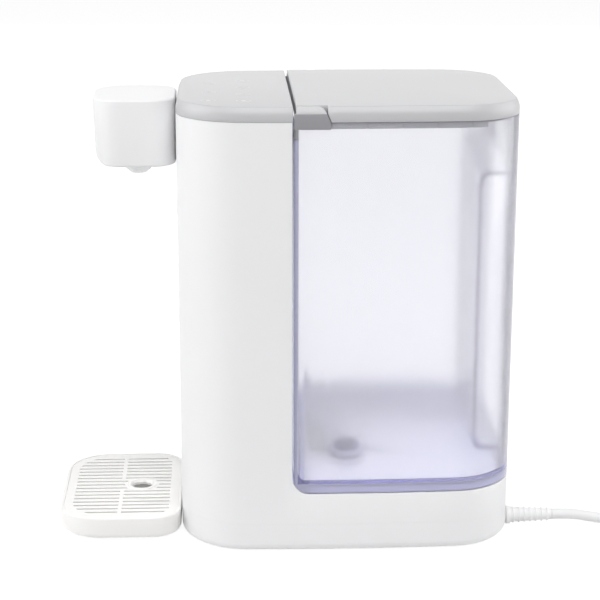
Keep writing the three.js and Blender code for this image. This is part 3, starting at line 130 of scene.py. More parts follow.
class DispenserSizes(bpy.types.PropertyGroup):
    """Sizes that a user of the part may want to change."""

    slot_count: IntProperty(name="Drip slots", description="Slots across the drip plate", default=17, min=1)
    slot_pitch: FloatProperty(
        name="Slot pitch", description="Distance between drip slots", default=5.45 * MM, unit="LENGTH"
    )
    slot_width: FloatProperty(
        name="Slot width", description="Width of each drip slot", default=1.8 * MM, unit="LENGTH"
    )
    edge: FloatProperty(
        name="Moulded edge", description="Rounding of the shells' edges", default=0.4 * MM, unit="LENGTH"
    )
    groove_pitch: FloatProperty(
        name="Collar groove pitch", description="Distance between the collar's grooves", default=19.2 * MM,
        unit="LENGTH",
    )
    groove_width: FloatProperty(
        name="Collar groove width", description="Width of each groove in the collar", default=1.1 * MM,
        unit="LENGTH",
    )
    lead_diameter: FloatProperty(
        name="Lead diameter", description="Outside of the mains lead", default=6.2 * MM, unit="LENGTH"
    )
    relief_rings: IntProperty(
        name="Relief rings", description="Rings on the lead's strain relief", default=7, min=1
    )


class DispenserColours(bpy.types.PropertyGroup):
    """Colours that a user of the part may want to change."""

    shell: FloatVectorProperty(
        name="Shell", description="White housing, base and spout", default=linear("#EFEFF0"), subtype="COLOR"
    )
    cap: FloatVectorProperty(
        name="Cap and lid", description="Light grey cap and lid", default=linear("#BBBBBD"), subtype="COLOR"
    )
    # The collar's darker grey is painted shade from the lid over it.
    collar: FloatVectorProperty(
        name="Collar", description="Grey ring on the tank", default=linear("#96969A"), subtype="COLOR"
    )
    tank: FloatVectorProperty(
        name="Tank tint", description="Tint of the clear tank", default=linear("#A9A5EC"), subtype="COLOR"
    )
    lead: FloatVectorProperty(
        name="Mains lead", description="Lead and plug", default=linear("#F4F4F4"), subtype="COLOR"
    )


# Outlines, in millimetres. Each runs anticlockwise seen from above.
def rounded(front, rear, half, front_round, rear_round, inset=0.0, steps=14, side=12):
    """A rounded rectangle whose long sides are divided evenly."""
    x0, x1, y1 = front + inset, rear - inset, half - inset
    r0, r1 = max(front_round - inset, 0.2), max(rear_round - inset, 0.2)
    points = []

    def corner(x, y, radius, start):
        for i in range(steps + 1):
            angle = (start + i / steps) * math.pi / 2
            points.append((x + radius * math.cos(angle), y + radius * math.sin(angle)))

    def straight(a, b, y):
        points.extend((a + (b - a) * i / side, y) for i in range(1, side))

    corner(x0 + r0, r0 - y1, r0, 2)
    straight(x0 + r0, x1 - r1, -y1)
    corner(x1 - r1, r1 - y1, r1, 3)
    corner(x1 - r1, y1 - r1, r1, 0)
    straight(x1 - r1, x0 + r0, y1)
    corner(x0 + r0, y1 - r0, r0, 1)
    return points


def width_left(x):
    """The share of the width that is left at x, because the long sides fall away towards their ends."""
    half = LENGTH / 2
    return 1 - SIDE_SAG / (WIDTH / 2) * ((x - half) / half) ** 2


def machine(inset, front=0.0, front_round=FRONT_ROUND):
    """The machine's plan."""
    outline = rounded(front, LENGTH, WIDTH / 2, front_round, REAR_ROUND, inset)
    return [(x, y * width_left(x)) for x, y in outline]


def tank_plan(inset):
    return machine(inset, TANK_FRONT, 3.0)


def spout_plan(inset, z):
    share = (SPOUT_TOP - z) / (SPOUT_TOP - SPOUT_LOW)
    front = SPOUT_LEAN * share - SPOUT_REACH
    return rounded(front, -STANDOFF, SPOUT_HALF, 16.0, 14.0, inset, side=4)


def tray_plan(inset):
    return rounded(-TRAY_REACH, -STANDOFF, TRAY_HALF, 26.0, 17.0, inset, side=4)


def top_edge(radius, top, steps=8):
    """Insets and heights of a quarter round up to a top face."""
    turns = [i / steps * math.pi / 2 for i in range(steps + 1)]
    return [(radius * (1 - math.cos(a)), top - radius * (1 - math.sin(a))) for a in turns]


def shoulder(top):
    """Insets and heights of the cap's edge: a round up to a slant, and a tight turn into the top face."""
    turns = [i / 6 * math.pi / 4 for i in range(7)]
    rise = [(3.0 * (1 - math.cos(a)), top - 6.1 + 5.5 * math.sin(a)) for a in turns]
    return [*rise, (1.75, top - 0.48), (1.95, top - 0.24), (2.25, top - 0.08), (2.6, top)]


def bottom_edge(radius, low, steps=8):
    """Insets and heights of a quarter round away from a bottom face."""
    turns = [i / steps * math.pi / 2 for i in range(steps + 1)]
    return [(radius * (1 - math.sin(a)), low + radius * (1 - math.cos(a))) for a in turns]


# Skins, each a closed mesh in millimetres.
def stacked(levels):
    """A skin through outlines of equal count, each given with its height."""
    bm = bmesh.new()
    rings = [[bm.verts.new((x, y, z)) for x, y in points] for points, z in levels]
    for low, high in zip(rings, rings[1:]):
        for i, a in enumerate(low):
            j = (i + 1) % len(low)
            bm.faces.new((a, low[j], high[j], high[i]))
    bm.faces.new(rings[0][::-1])
    bm.faces.new(rings[-1])
    return bm


def block(plan, levels):
    """A skin of one plan at pairs of inset and height."""
    return stacked([(plan(inset), z) for inset, z in levels])


def slab(x0, x1, y0, y1, z0, z1):
    return stacked([([(x0, y0), (x1, y0), (x1, y1), (x0, y1)], z) for z in (z0, z1)])


def profile(points, y0, y1):
    """A side profile in X and Z, drawn across the machine."""
    bm = stacked([(points, -y1), (points, -y0)])
    bmesh.ops.transform(bm, matrix=Matrix.Rotation(math.pi / 2, 4, "X"), verts=bm.verts)
    bmesh.ops.recalc_face_normals(bm, faces=bm.faces)
    return bm


def arc(x, z, radius, start, end, steps=12):
    return [
        (x + radius * math.cos(math.pi * a), z + radius * math.sin(math.pi * a))
        for a in (start + (end - start) * i / steps for i in range(steps + 1))
    ]


AXES = {
    "z": Matrix.Identity(4),
    "x": Matrix(((0, 0, 1, 0), (1, 0, 0, 0), (0, 1, 0, 0), (0, 0, 0, 1))),
    "y": Matrix(((0, 1, 0, 0), (0, 0, 1, 0), (1, 0, 0, 0), (0, 0, 0, 1))),
}


def turned(pairs, u, v, axis="z", sides=48):
    """A turned skin from pairs of radius and place along its axis; u and v are its place across."""
    bm = bmesh.new()
    rings = []
    for radius, along in pairs:
        if radius < 1e-6:
            rings.append([bm.verts.new((0, 0, along))])
            continue
        turns = [2 * math.pi * i / sides for i in range(sides)]
        rings.append([bm.verts.new((radius * math.cos(a), radius * math.sin(a), along)) for a in turns])
    loop = rings[1:] + rings[:1] if pairs[0][0] > 1e-6 else rings[1:]
    for low, high in zip(rings, loop):
        if len(low) == len(high) == 1:
            continue
        for i in range(sides):
            j = (i + 1) % sides
            corners = [low[i % len(low)], low[j % len(low)], high[j % len(high)], high[i % len(high)]]
            bm.faces.new(list(dict.fromkeys(corners)))
    across = {"z": (u, v, 0), "x": (0, u, v), "y": (u, 0, v)}[axis]
    bmesh.ops.transform(bm, matrix=Matrix.Translation(across) @ AXES[axis], verts=bm.verts)
    bmesh.ops.recalc_face_normals(bm, faces=bm.faces)
    return bm


def rod(radius, start, end, u, v, axis="z", sides=48):
    return turned([(0, start), (radius, start), (radius, end), (0, end)], u, v, axis, sides)


def swept(points, radius, sides=16):
    """A round tube through points that never stand upright, closed at both ends."""
    bm = bmesh.new()
    path = [Vector(p) for p in points]
    rings = []
    for i, p in enumerate(path):
        along = (path[min(i + 1, len(path) - 1)] - path[max(i - 1, 0)]).normalized()
        across = along.cross(Vector((0, 0, 1))).normalized()
        lift = across.cross(along)
        turns = [2 * math.pi * k / sides for k in range(sides)]
        rings.append([bm.verts.new(p + (across * math.cos(a) + lift * math.sin(a)) * radius) for a in turns])
    for low, high in zip(rings, rings[1:]):
        for k in range(sides):
            j = (k + 1) % sides
            bm.faces.new((low[k], high[k], high[j], low[j]))
    bm.faces.new(rings[0])
    bm.faces.new(rings[-1][::-1])
    bmesh.ops.recalc_face_normals(bm, faces=bm.faces)
    return bm


def smooth_route(points, steps):
    """Points on a Catmull-Rom curve through the given ones."""
    path = [Vector(p) for p in points]
    made = []
    for i in range(len(path) - 1):
        a, b, c, d = path[max(i - 1, 0)], path[i], path[i + 1], path[min(i + 2, len(path) - 1)]
        for k in range(steps):
            t = k / steps
            made.append(0.5 * (2 * b + (c - a) * t + (2 * a - 5 * b + 4 * c - d) * t ** 2
                               + (3 * b - a - 3 * c + d) * t ** 3))
    return made + [path[-1]]


def scratch(bm, name="scratch"):
    """The skin as an object of the scene; the skin itself is freed."""
    mesh = bpy.data.meshes.new(name)
    bm.to_mesh(mesh)
    bm.free()
    made = bpy.data.objects.new(name, mesh)
    bpy.context.scene.collection.objects.link(made)
    return made


def evaluated(obj):
    """The object's mesh with its modifiers applied, as a skin; the object is removed."""
    bpy.context.view_layer.update()
    mesh = bpy.data.meshes.new_from_object(obj.evaluated_get(bpy.context.evaluated_depsgraph_get()))
    bm = bmesh.new()
    bm.from_mesh(mesh)
    bpy.data.meshes.remove(mesh)
    bpy.data.objects.remove(obj)
    return bm


def combine(operation, base, *others):
    """The base joined with, cut by or kept inside each other skin."""
    held = scratch(base)
    tools = [scratch(other) for other in others]
    for tool in tools:
        step = held.modifiers.new("step", "BOOLEAN")
        step.operation, step.solver, step.object = operation, "EXACT", tool
    made = evaluated(held)
    for tool in tools:
        bpy.data.objects.remove(tool)
    bmesh.ops.remove_doubles(made, verts=made.verts, dist=MERGE)
    bmesh.ops.dissolve_degenerate(made, dist=MERGE, edges=made.edges)
    return made


def cut(base, *others):
    return combine("DIFFERENCE", base, *others)


def join(base, *others):
    return combine("UNION", base, *others)


def keep(base, *others):
    return combine("INTERSECT", base, *others)


def soften(bm, width, segments=2, angle=32.0, crisp=()):
    """Rounds the edges that turn by more than the angle, but for level ones at the crisp heights."""
    bmesh.ops.dissolve_limit(bm, angle_limit=math.radians(0.02), verts=bm.verts, edges=bm.edges)
    sharp = [
        e for e in bm.edges if e.is_manifold and abs(e.calc_face_angle(0)) > math.radians(angle)
        and not any(all(abs(v.co.z - z) < 0.01 for v in e.verts) for z in crisp)
    ]
    bmesh.ops.bevel(
        bm, geom=sharp, offset=width, segments=segments, profile=0.5, affect="EDGES", clamp_overlap=True
    )
    return bm


def piece(name, bm, finish, body, nodes, smooth=40.0):
    """A finished piece in the frame, riding on a body, or on none yet, in place of its solids."""
    for face in bm.faces:
        face.smooth = True
    bmesh.ops.transform(bm, matrix=Matrix.Translation((FRONT, 0, 0)) @ Matrix.Scale(MM, 4), verts=bm.verts)
    made = scratch(bm, name)
    made.data.set_sharp_from_angle(angle=math.radians(smooth))
    made.data.materials.clear()
    made.data.materials.append(finish)
    for face in made.data.polygons:
        face.material_index = 0
    if body:
        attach(made, body)
    if nodes:
        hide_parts(*nodes)
    return made


def solid_copy(node):
    """A merged copy of a solid, in millimetres from the column's front."""
    bm = bmesh.new()
    bm.from_mesh(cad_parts[node].data)
    back = Matrix.Scale(1 / MM, 4) @ Matrix.Translation((-FRONT, 0, 0))
    bmesh.ops.transform(bm, matrix=back, verts=bm.verts)
    bmesh.ops.remove_doubles(bm, verts=bm.verts, dist=10 * MERGE)
    return bm


# Nodes.
def add_node(tree, kind, settings=(), inputs=()):
    """Adds a node. An input takes a value, or the socket that feeds it."""
    made = tree.nodes.new(kind)
    for key, value in dict(settings).items():
        setattr(made, key, value)
    for key, value in dict(inputs).items():
        if isinstance(value, bpy.types.NodeSocket):
            tree.links.new(value, made.inputs[key])
        else:
            made.inputs[key].default_value = value
    return made


def rgba(colour):
    return (*colour[:3], 1.0)


def blank_material(name):
    made = bpy.data.materials.new(name)
    made.use_nodes = True
    made.node_tree.nodes.clear()
    return made, made.node_tree


def moulded(name, colour, roughness, grain, depth, drift, ior=1.5, **more):
    """Moulded plastic or rubber: a spark-eroded grain of the given size in mm, and a slow drift in tone."""
    # A real mould's grain is some hundredths of a millimetre, too fine to show, so it is drawn coarser.
    made, tree = blank_material(name)
    place = add_node(tree, "ShaderNodeTexCoord")
    fine = add_node(tree, "ShaderNodeTexNoise", inputs={
        "Vector": place.outputs["Object"], "Scale": 1 / (grain * MM), "Detail": 3.0, "Roughness": 0.6,
    })
    slow = add_node(tree, "ShaderNodeTexNoise", inputs={
        "Vector": place.outputs["Object"], "Scale": 1 / (60 * MM), "Detail": 2.0, "Roughness": 0.5,
    })
    tone = add_node(tree, "ShaderNodeMix", {"data_type": "RGBA"}, {
        "Factor": slow.outputs["Fac"], 6: rgba([c * (1 - drift) for c in colour]),
        7: rgba([min(c * (1 + drift), 1.0) for c in colour]),
    })
    gloss = add_node(tree, "ShaderNodeMapRange", inputs={
        "Value": fine.outputs["Fac"], "From Min": 0.3, "From Max": 0.7,
        "To Min": roughness * 0.88, "To Max": min(roughness * 1.12, 1.0),
    })
    bump = add_node(tree, "ShaderNodeBump", inputs={
        "Height": fine.outputs["Fac"], "Strength": 0.35, "Distance": depth * MM,
    })
    shader = add_node(tree, "ShaderNodeBsdfPrincipled", inputs={
        "Base Color": tone.outputs[2], "Roughness": gloss.outputs["Result"], "Normal": bump.outputs["Normal"],
        "IOR": ior, **more,
    })
    add_node(tree, "ShaderNodeOutputMaterial", inputs={"Surface": shader.outputs["BSDF"]})
    return made


def metal(name, colour, roughness, line):
    """Drawn or rolled metal: fine lines of the given spacing in mm along the piece."""
    made, tree = blank_material(name)
    place = add_node(tree, "ShaderNodeTexCoord")
    stretch = add_node(tree, "ShaderNodeMapping", inputs={
        "Vector": place.outputs["Object"], "Scale": (1 / (line * MM), 1 / (line * MM), 1 / (40 * line * MM)),
    })
    lines = add_node(tree, "ShaderNodeTexNoise", inputs={
        "Vector": stretch.outputs["Vector"], "Scale": 1.0, "Detail": 2.0,
    })
    tone = add_node(tree, "ShaderNodeMix", {"data_type": "RGBA"}, {
        "Factor": lines.outputs["Fac"], 6: rgba([c * 0.9 for c in colour]), 7: rgba(colour),
    })
    gloss = add_node(tree, "ShaderNodeMapRange", inputs={
        "Value": lines.outputs["Fac"], "To Min": roughness * 0.8, "To Max": roughness * 1.25,
    })
    bump = add_node(tree, "ShaderNodeBump", inputs={
        "Height": lines.outputs["Fac"], "Strength": 0.2, "Distance": 0.01 * MM,
    })
    shader = add_node(tree, "ShaderNodeBsdfPrincipled", inputs={
        "Base Color": tone.outputs[2], "Roughness": gloss.outputs["Result"], "Metallic": 1.0,
        "Normal": bump.outputs["Normal"],
    })
    add_node(tree, "ShaderNodeOutputMaterial", inputs={"Surface": shader.outputs["BSDF"]})
    return made


def clear_san(name, colour, wall, clarity):
    """Injection-moulded clear SAN with the tint of its depth, the tone of its wall and its clarity."""
    made, tree = blank_material(name)
    place = add_node(tree, "ShaderNodeTexCoord")
    flow = add_node(tree, "ShaderNodeTexNoise", inputs={
        "Vector": place.outputs["Object"], "Scale": 1 / (35 * MM), "Detail": 1.0,
    })
    bump = add_node(tree, "ShaderNodeBump", inputs={
        "Height": flow.outputs["Fac"], "Strength": 0.12, "Distance": 0.4 * MM,
    })
    haze = add_node(tree, "ShaderNodeMapRange", inputs={
        "Value": flow.outputs["Fac"], "To Min": 0.15, "To Max": 0.19,
    })
    shader = add_node(tree, "ShaderNodeBsdfPrincipled", inputs={
        "Base Color": rgba(wall), "Roughness": haze.outputs["Result"], "IOR": 1.5,
        "Transmission Weight": clarity, "Normal": bump.outputs["Normal"],
    })
    # Light that only has to reach what stands in the tank passes straight through its walls.
    ray = add_node(tree, "ShaderNodeLightPath")
    passing = add_node(tree, "ShaderNodeBsdfTransparent", inputs={"Color": rgba(linear("#FAFAFD"))})
    surface = add_node(tree, "ShaderNodeMixShader", inputs={
        0: ray.outputs["Is Shadow Ray"], 1: shader.outputs["BSDF"], 2: passing.outputs["BSDF"],
    })
    depth = add_node(tree, "ShaderNodeVolumeAbsorption", inputs={"Color": rgba(colour), "Density": 18.0})
    add_node(tree, "ShaderNodeOutputMaterial", inputs={
        "Surface": surface.outputs["Shader"], "Volume": depth.outputs["Volume"],
    })
    return made


def circuit_board(name):
    """Glass-fibre board under green solder mask, with tracks a little paler than the ground."""
    made, tree = blank_material(name)
    place = add_node(tree, "ShaderNodeTexCoord")
    tracks = add_node(tree, "ShaderNodeTexBrick", inputs={
        "Vector": place.outputs["Object"], "Scale": 1 / (12 * MM), "Mortar Size": 0.05, "Bias": 0.0,
        "Color1": rgba(linear("#1F5A38")), "Color2": rgba(linear("#245F3C")), "Mortar": rgba(linear("#3F8A5B")),
    })
    shader = add_node(tree, "ShaderNodeBsdfPrincipled", inputs={
        "Base Color": tracks.outputs["Color"], "Roughness": 0.35, "Coat Weight": 0.4,
    })
    add_node(tree, "ShaderNodeOutputMaterial", inputs={"Surface": shader.outputs["BSDF"]})
    return made


def material(key):
    """The finish of that name, made the first time that it is asked for."""
    colours = bpy.context.scene.dispenser_colours
    makers = {
        # Moulded white ABS with a fine satin texture: soft highlights, no grain at arm's length.
        "white ABS": lambda k: moulded(k, colours.shell, 0.42, grain=0.5, depth=0.012, drift=0.012),
        # The tray's ABS has a smoother, slightly warmer finish; its paler white is painted light, lifting the
        # tray where the column and spout shade it.
        "white ABS, satin, painted light": lambda k: moulded(
            k, linear("#F5F4F2"), 0.4, grain=0.5, depth=0.008, drift=0.008,
            **{"Coat Weight": 0.6, "Coat Roughness": 0.3, "Coat IOR": 1.6},
        ),
        # Moulded light grey ABS under a satin lacquer, which lifts the top faces towards the sky.
        "grey ABS": lambda k: moulded(
            k, colours.cap, 0.5, grain=0.45, depth=0.01, drift=0.015,
            **{"Coat Weight": 0.9, "Coat Roughness": 0.42, "Coat IOR": 1.6},
        ),
        # A deeper grey for the ring under the lid: painted shade, for the shadow that the lid casts on it.
        "collar ABS, painted shade": lambda k: moulded(k, colours.collar, 0.5, grain=0.45, depth=0.015, drift=0.015),
        # Pad-printed white ink: flat and a little chalky.
        "white ink": lambda k: moulded(k, linear("#DCDCDD"), 0.55, grain=0.3, depth=0.004, drift=0.01),
        # Moulded natural polypropylene: pale and waxy.
        "pale polypropylene": lambda k: moulded(k, linear("#E2E1E4"), 0.45, grain=0.6, depth=0.01, drift=0.02),
        # The valve's natural polypropylene, painted violet grey: the tint and shade of the tank that it is seen
        # through.
        "polypropylene, painted tank violet": lambda k: moulded(k, linear("#AEACBC"), 0.5, grain=0.6, depth=0.01, drift=0.02),
        # Moulded polyamide: nearly black, with a dull sheen and a mottled tone.
        "dark polyamide": lambda k: moulded(k, linear("#45454A"), 0.55, grain=0.5, depth=0.02, drift=0.06),
        # Moulded nylon mesh, too fine to draw: a dull grey, with the violet of the tank wall that it is seen
        # through painted in.
        "strainer mesh, painted tank violet": lambda k: moulded(k, linear("#77768A"), 0.5, grain=0.4, depth=0.02, drift=0.05),
        # Extruded silicone: milky, because light goes a little way into it.
        "milky silicone": lambda k: moulded(
            k, linear("#E6E3DD"), 0.5, grain=0.8, depth=0.01, drift=0.03, ior=1.41,
            **{"Subsurface Weight": 0.2, "Subsurface Scale": 0.002},
        ),
        # Moulded rubber: black and matt, without a clear highlight.
        "black rubber": lambda k: moulded(
            k, linear("#2E2E30"), 0.8, grain=0.6, depth=0.03, drift=0.08, ior=1.52,
        ),
        # Extruded PVC: white, with a soft shine along the lead.
        "PVC lead": lambda k: moulded(k, colours.lead, 0.45, grain=0.7, depth=0.01, drift=0.02, ior=1.53),
        # Drawn steel: grey and bright, with fine lines along the piece.
        "drawn steel": lambda k: metal(k, linear("#B9BBBE"), 0.32, line=0.3),
        # Pressed brass: warm yellow, with finer lines.
        "pressed brass": lambda k: metal(k, linear("#C9A65C"), 0.3, line=0.25),
        # Clear SAN: almost colourless in a thin wall, with a slight haze from the mould.
        "clear SAN": lambda k: clear_san(k, colours.tank, linear("#FAFAFB"), clarity=0.9),
        # The floor plate, twice as thick as the walls; its duller wall and lower clarity are painted shade, for
        # the shade on the deck beneath it.
        "clear SAN, floor, painted shade": lambda k: clear_san(k, colours.tank, linear("#F3F3F6"), clarity=0.8),
        # The same plastic where a long way through it gathers the violet of its depth; that violet and the
        # duller wall are painted onto these faces in place of the light's long path.
        "clear SAN, painted edge-on violet": lambda k: clear_san(k, colours.tank, linear("#C7C7E2"), clarity=0.35),
        # Laminated board under a coat of solder mask: green, with a shine over the tracks.
        "circuit board": circuit_board,
    }
    return bpy.data.materials.get(key) or makers[key](key)


def seen_itself(tree):
    """1 for a ray of the camera, a mirror or a clear wall, and 0 for one that only carries light."""
    ray = add_node(tree, "ShaderNodeLightPath")
    seen = ray.outputs["Is Camera Ray"]
    for kind in ("Is Glossy Ray", "Is Transmission Ray"):
        either = add_node(tree, "ShaderNodeMath", {"operation": "MAXIMUM"}, {0: seen, 1: ray.outputs[kind]})
        seen = either.outputs[0]
    return seen


# Geometry Nodes.
def new_tree(name, sockets):
    """An empty tree with a geometry in and out, and the named inputs."""
    tree = bpy.data.node_groups.new(name, "GeometryNodeTree")
    tree.interface.new_socket("Geometry", in_out="INPUT", socket_type="NodeSocketGeometry")
    tree.interface.new_socket("Geometry", in_out="OUTPUT", socket_type="NodeSocketGeometry")
    for label, kind in sockets:
        tree.interface.new_socket(label, in_out="INPUT", socket_type=kind)
    return tree, add_node(tree, "NodeGroupInput")


def close_tree(tree, start, geometry):
    """Ends the tree in real faces with their material."""
    real = add_node(tree, "GeometryNodeRealizeInstances", inputs={"Geometry": geometry})
    dressed = add_node(tree, "GeometryNodeSetMaterial", inputs={
        "Geometry": real.outputs["Geometry"], "Material": start.outputs["Material"],
    })
    add_node(tree, "NodeGroupOutput", inputs={"Geometry": dressed.outputs["Geometry"]})


def grown(bm, tree, values):
    """The skin that a tree makes from another with these inputs."""
    held = scratch(bm)
    growth = held.modifiers.new("growth", "NODES")
    growth.node_group = tree
    for item in tree.interface.items_tree:
        if item.item_type == "SOCKET" and item.in_out == "INPUT" and item.name in values:
            growth[item.identifier] = values[item.name]
    return evaluated(held)


def slot_rows():
    """Parallel slots kept inside a field and cut through a plate."""
    found = bpy.data.node_groups.get("Slot rows")
    if found:
        return found
    tree, start = new_tree("Slot rows", [
        ("Field", "NodeSocketObject"), ("Count", "NodeSocketInt"), ("Pitch", "NodeSocketFloat"),
        ("Width", "NodeSocketFloat"), ("Length", "NodeSocketFloat"), ("Height", "NodeSocketFloat"),
        ("Centre", "NodeSocketVector"), ("Material", "NodeSocketMaterial"),
    ])
    last = add_node(tree, "ShaderNodeMath", {"operation": "SUBTRACT"}, {0: start.outputs["Count"], 1: 1.0})
    span = add_node(tree, "ShaderNodeMath", {"operation": "MULTIPLY"}, {
        0: last.outputs[0], 1: start.outputs["Pitch"],
    })
    half = add_node(tree, "ShaderNodeMath", {"operation": "MULTIPLY"}, {0: span.outputs[0], 1: -0.5})
    shift = add_node(tree, "ShaderNodeCombineXYZ", inputs={"Y": half.outputs[0]})
    first = add_node(tree, "ShaderNodeVectorMath", {"operation": "ADD"}, {
        0: start.outputs["Centre"], 1: shift.outputs[0],
    })
    step = add_node(tree, "ShaderNodeCombineXYZ", inputs={"Y": start.outputs["Pitch"]})
    row = add_node(tree, "GeometryNodeMeshLine", inputs={
        "Count": start.outputs["Count"], "Start Location": first.outputs[0], "Offset": step.outputs[0],
    })
    size = add_node(tree, "ShaderNodeCombineXYZ", inputs={
        "X": start.outputs["Length"], "Y": start.outputs["Width"], "Z": start.outputs["Height"],
    })
    slot = add_node(tree, "GeometryNodeMeshCube", inputs={"Size": size.outputs[0]})
    slots = add_node(tree, "GeometryNodeInstanceOnPoints", inputs={
        "Points": row.outputs["Mesh"], "Instance": slot.outputs["Mesh"],
    })
    real = add_node(tree, "GeometryNodeRealizeInstances", inputs={"Geometry": slots.outputs["Instances"]})
    field = add_node(tree, "GeometryNodeObjectInfo", inputs={"Object": start.outputs["Field"]})
    kept = add_node(tree, "GeometryNodeMeshBoolean", {"operation": "INTERSECT", "solver": "EXACT"})
    tree.links.new(real.outputs["Geometry"], kept.inputs["Mesh 2"])
    tree.links.new(field.outputs["Geometry"], kept.inputs["Mesh 2"])
    slotted = add_node(tree, "GeometryNodeMeshBoolean", {"operation": "DIFFERENCE", "solver": "EXACT"}, {
        "Mesh 1": start.outputs["Geometry"], "Mesh 2": kept.outputs["Mesh"],
    })
    close_tree(tree, start, slotted.outputs["Mesh"])
    return tree


def slotted_plate(plate, field, values):
    """The plate with rows of slots through it, inside the field."""
    held = scratch(field, "slot_field")
    made = grown(plate, slot_rows(), {"Field": held, **values})
    bpy.data.objects.remove(held)
    bmesh.ops.remove_doubles(made, verts=made.verts, dist=MERGE)
    return made


def bar_tree():
    """Small blocks standing on points, each turned to face the way its point says."""
    found = bpy.data.node_groups.get("Bars")
    if found:
        return found
    tree, start = new_tree("Bars", [("Size", "NodeSocketVector"), ("Material", "NodeSocketMaterial")])
    bar = add_node(tree, "GeometryNodeMeshCube", inputs={"Size": start.outputs["Size"]})
    facing = add_node(tree, "GeometryNodeInputNamedAttribute", {"data_type": "FLOAT_VECTOR"}, {
        "Name": "facing",
    })
    turn = add_node(tree, "FunctionNodeAlignRotationToVector", {"axis": "Y"}, {
        "Vector": facing.outputs["Attribute"],
    })
    row = add_node(tree, "GeometryNodeInstanceOnPoints", inputs={
        "Points": start.outputs["Geometry"], "Instance": bar.outputs["Mesh"],
        "Rotation": turn.outputs["Rotation"],
    })
    close_tree(tree, start, row.outputs["Instances"])
    return tree


def bars(places, size, finish):
    """The plug's grips and what cuts the collar's grooves: bars at places, each with the way it faces."""
    bm = bmesh.new()
    facing = bm.verts.layers.float_vector.new("facing")
    for place, way in places:
        bm.verts.new(place)[facing] = Vector(way)
    return grown(bm, bar_tree(), {"Size": size, "Material": finish})


def ring_tree():
    """Rings along a straight axis that shrink from the first to the last."""
    found = bpy.data.node_groups.get("Rings")
    if found:
        return found
    tree, start = new_tree("Rings", [
        ("Count", "NodeSocketInt"), ("First", "NodeSocketVector"), ("Last", "NodeSocketVector"),
        ("First Radius", "NodeSocketFloat"), ("Last Radius", "NodeSocketFloat"), ("Wire", "NodeSocketFloat"),
        ("Turn", "NodeSocketRotation"), ("Material", "NodeSocketMaterial"),
    ])
    line = add_node(tree, "GeometryNodeMeshLine", {"mode": "END_POINTS"}, {
        "Count": start.outputs["Count"], "Start Location": start.outputs["First"],
        "Offset": start.outputs["Last"],
    })
    hoop = add_node(tree, "GeometryNodeCurvePrimitiveCircle", inputs={"Resolution": 40, "Radius": 1.0})
    order = add_node(tree, "GeometryNodeInputIndex")
    last = add_node(tree, "ShaderNodeMath", {"operation": "SUBTRACT"}, {0: start.outputs["Count"], 1: 1.0})
    radius = add_node(tree, "ShaderNodeMapRange", inputs={
        "Value": order.outputs["Index"], "From Max": last.outputs[0],
        "To Min": start.outputs["First Radius"], "To Max": start.outputs["Last Radius"],
    })
    hoops = add_node(tree, "GeometryNodeInstanceOnPoints", inputs={
        "Points": line.outputs["Mesh"], "Instance": hoop.outputs["Curve"], "Rotation": start.outputs["Turn"],
        "Scale": radius.outputs["Result"],
    })
    real = add_node(tree, "GeometryNodeRealizeInstances", inputs={"Geometry": hoops.outputs["Instances"]})
    section = add_node(tree, "GeometryNodeCurvePrimitiveCircle", inputs={
        "Resolution": 8, "Radius": start.outputs["Wire"],
    })
    wire = add_node(tree, "GeometryNodeCurveToMesh", inputs={
        "Curve": real.outputs["Geometry"], "Profile Curve": section.outputs["Curve"],
    })
    close_tree(tree, start, wire.outputs["Mesh"])
    return tree


def rings(values):
    """Round rings along a line, such as those of the strain relief, the plug's sleeve and the seal."""
    bm = bmesh.new()
    bm.verts.new((0, 0, 0))
    return grown(bm, ring_tree(), values)


def together(*skins):
    """Several skins as one mesh, without joining their faces."""
    made = bmesh.new()
    for skin in skins:
        mesh = bpy.data.meshes.new("part")
        skin.to_mesh(mesh)
        skin.free()
        made.from_mesh(mesh)
        bpy.data.meshes.remove(mesh)
    return made


def sizes():
    return bpy.context.scene.dispenser_sizes


def bay(growth):
    """The space behind the column and above the deck."""
    x0, z0, radius = COLUMN - growth, DECK - growth, BAY_FILLET + growth
    far, high = LENGTH + OVER, HEIGHT + OVER
    outline = [(far, z0), (far, high), (x0, high), *arc(x0 + radius, z0 + radius, radius, 1, 1.5)]
    return profile(outline, -WIDTH, WIDTH)


def magnet_bores(start, end):
    """Bores for the two magnets that hold the tray against the base."""
    return [rod(MAGNET, start, end, side * MAGNET_SIDE, MAGNET_Z, "x", 24) for side in (-1, 1)]


# The stage.
def sweep_paper():
    """A pale sweep that sends back much light but looks evenly lit to the camera."""
    light, look, glow = 0.8, 0.3, 0.9
    made, tree = blank_material("white paper sweep")
    seen = seen_itself(tree)
    tone = add_node(tree, "ShaderNodeMix", {"data_type": "RGBA"}, {
        "Factor": seen, 6: rgba([light] * 3), 7: rgba([look] * 3),
    })
    paper = add_node(tree, "ShaderNodeBsdfDiffuse", inputs={"Color": tone.outputs[2]})
    lift = add_node(tree, "ShaderNodeMath", {"operation": "MULTIPLY"}, {0: seen, 1: glow})
    shine = add_node(tree, "ShaderNodeEmission", inputs={"Strength": lift.outputs[0]})
    both = add_node(tree, "ShaderNodeAddShader", inputs={0: paper.outputs[0], 1: shine.outputs[0]})
    add_node(tree, "ShaderNodeOutputMaterial", inputs={"Surface": both.outputs[0]})
    return made


def studio():
    """A white room to look at that gives only a little light of its own."""
    made = bpy.data.worlds.new("studio")
    made.use_nodes = True
    tree = made.node_tree
    tree.nodes.clear()
    level = add_node(tree, "ShaderNodeMapRange", inputs={
        "Value": seen_itself(tree), "To Min": 0.16, "To Max": 1.0,
    })
    sky = add_node(tree, "ShaderNodeBackground", inputs={"Strength": level.outputs["Result"]})
    add_node(tree, "ShaderNodeOutputWorld", inputs={"Surface": sky.outputs[0]})
    return made


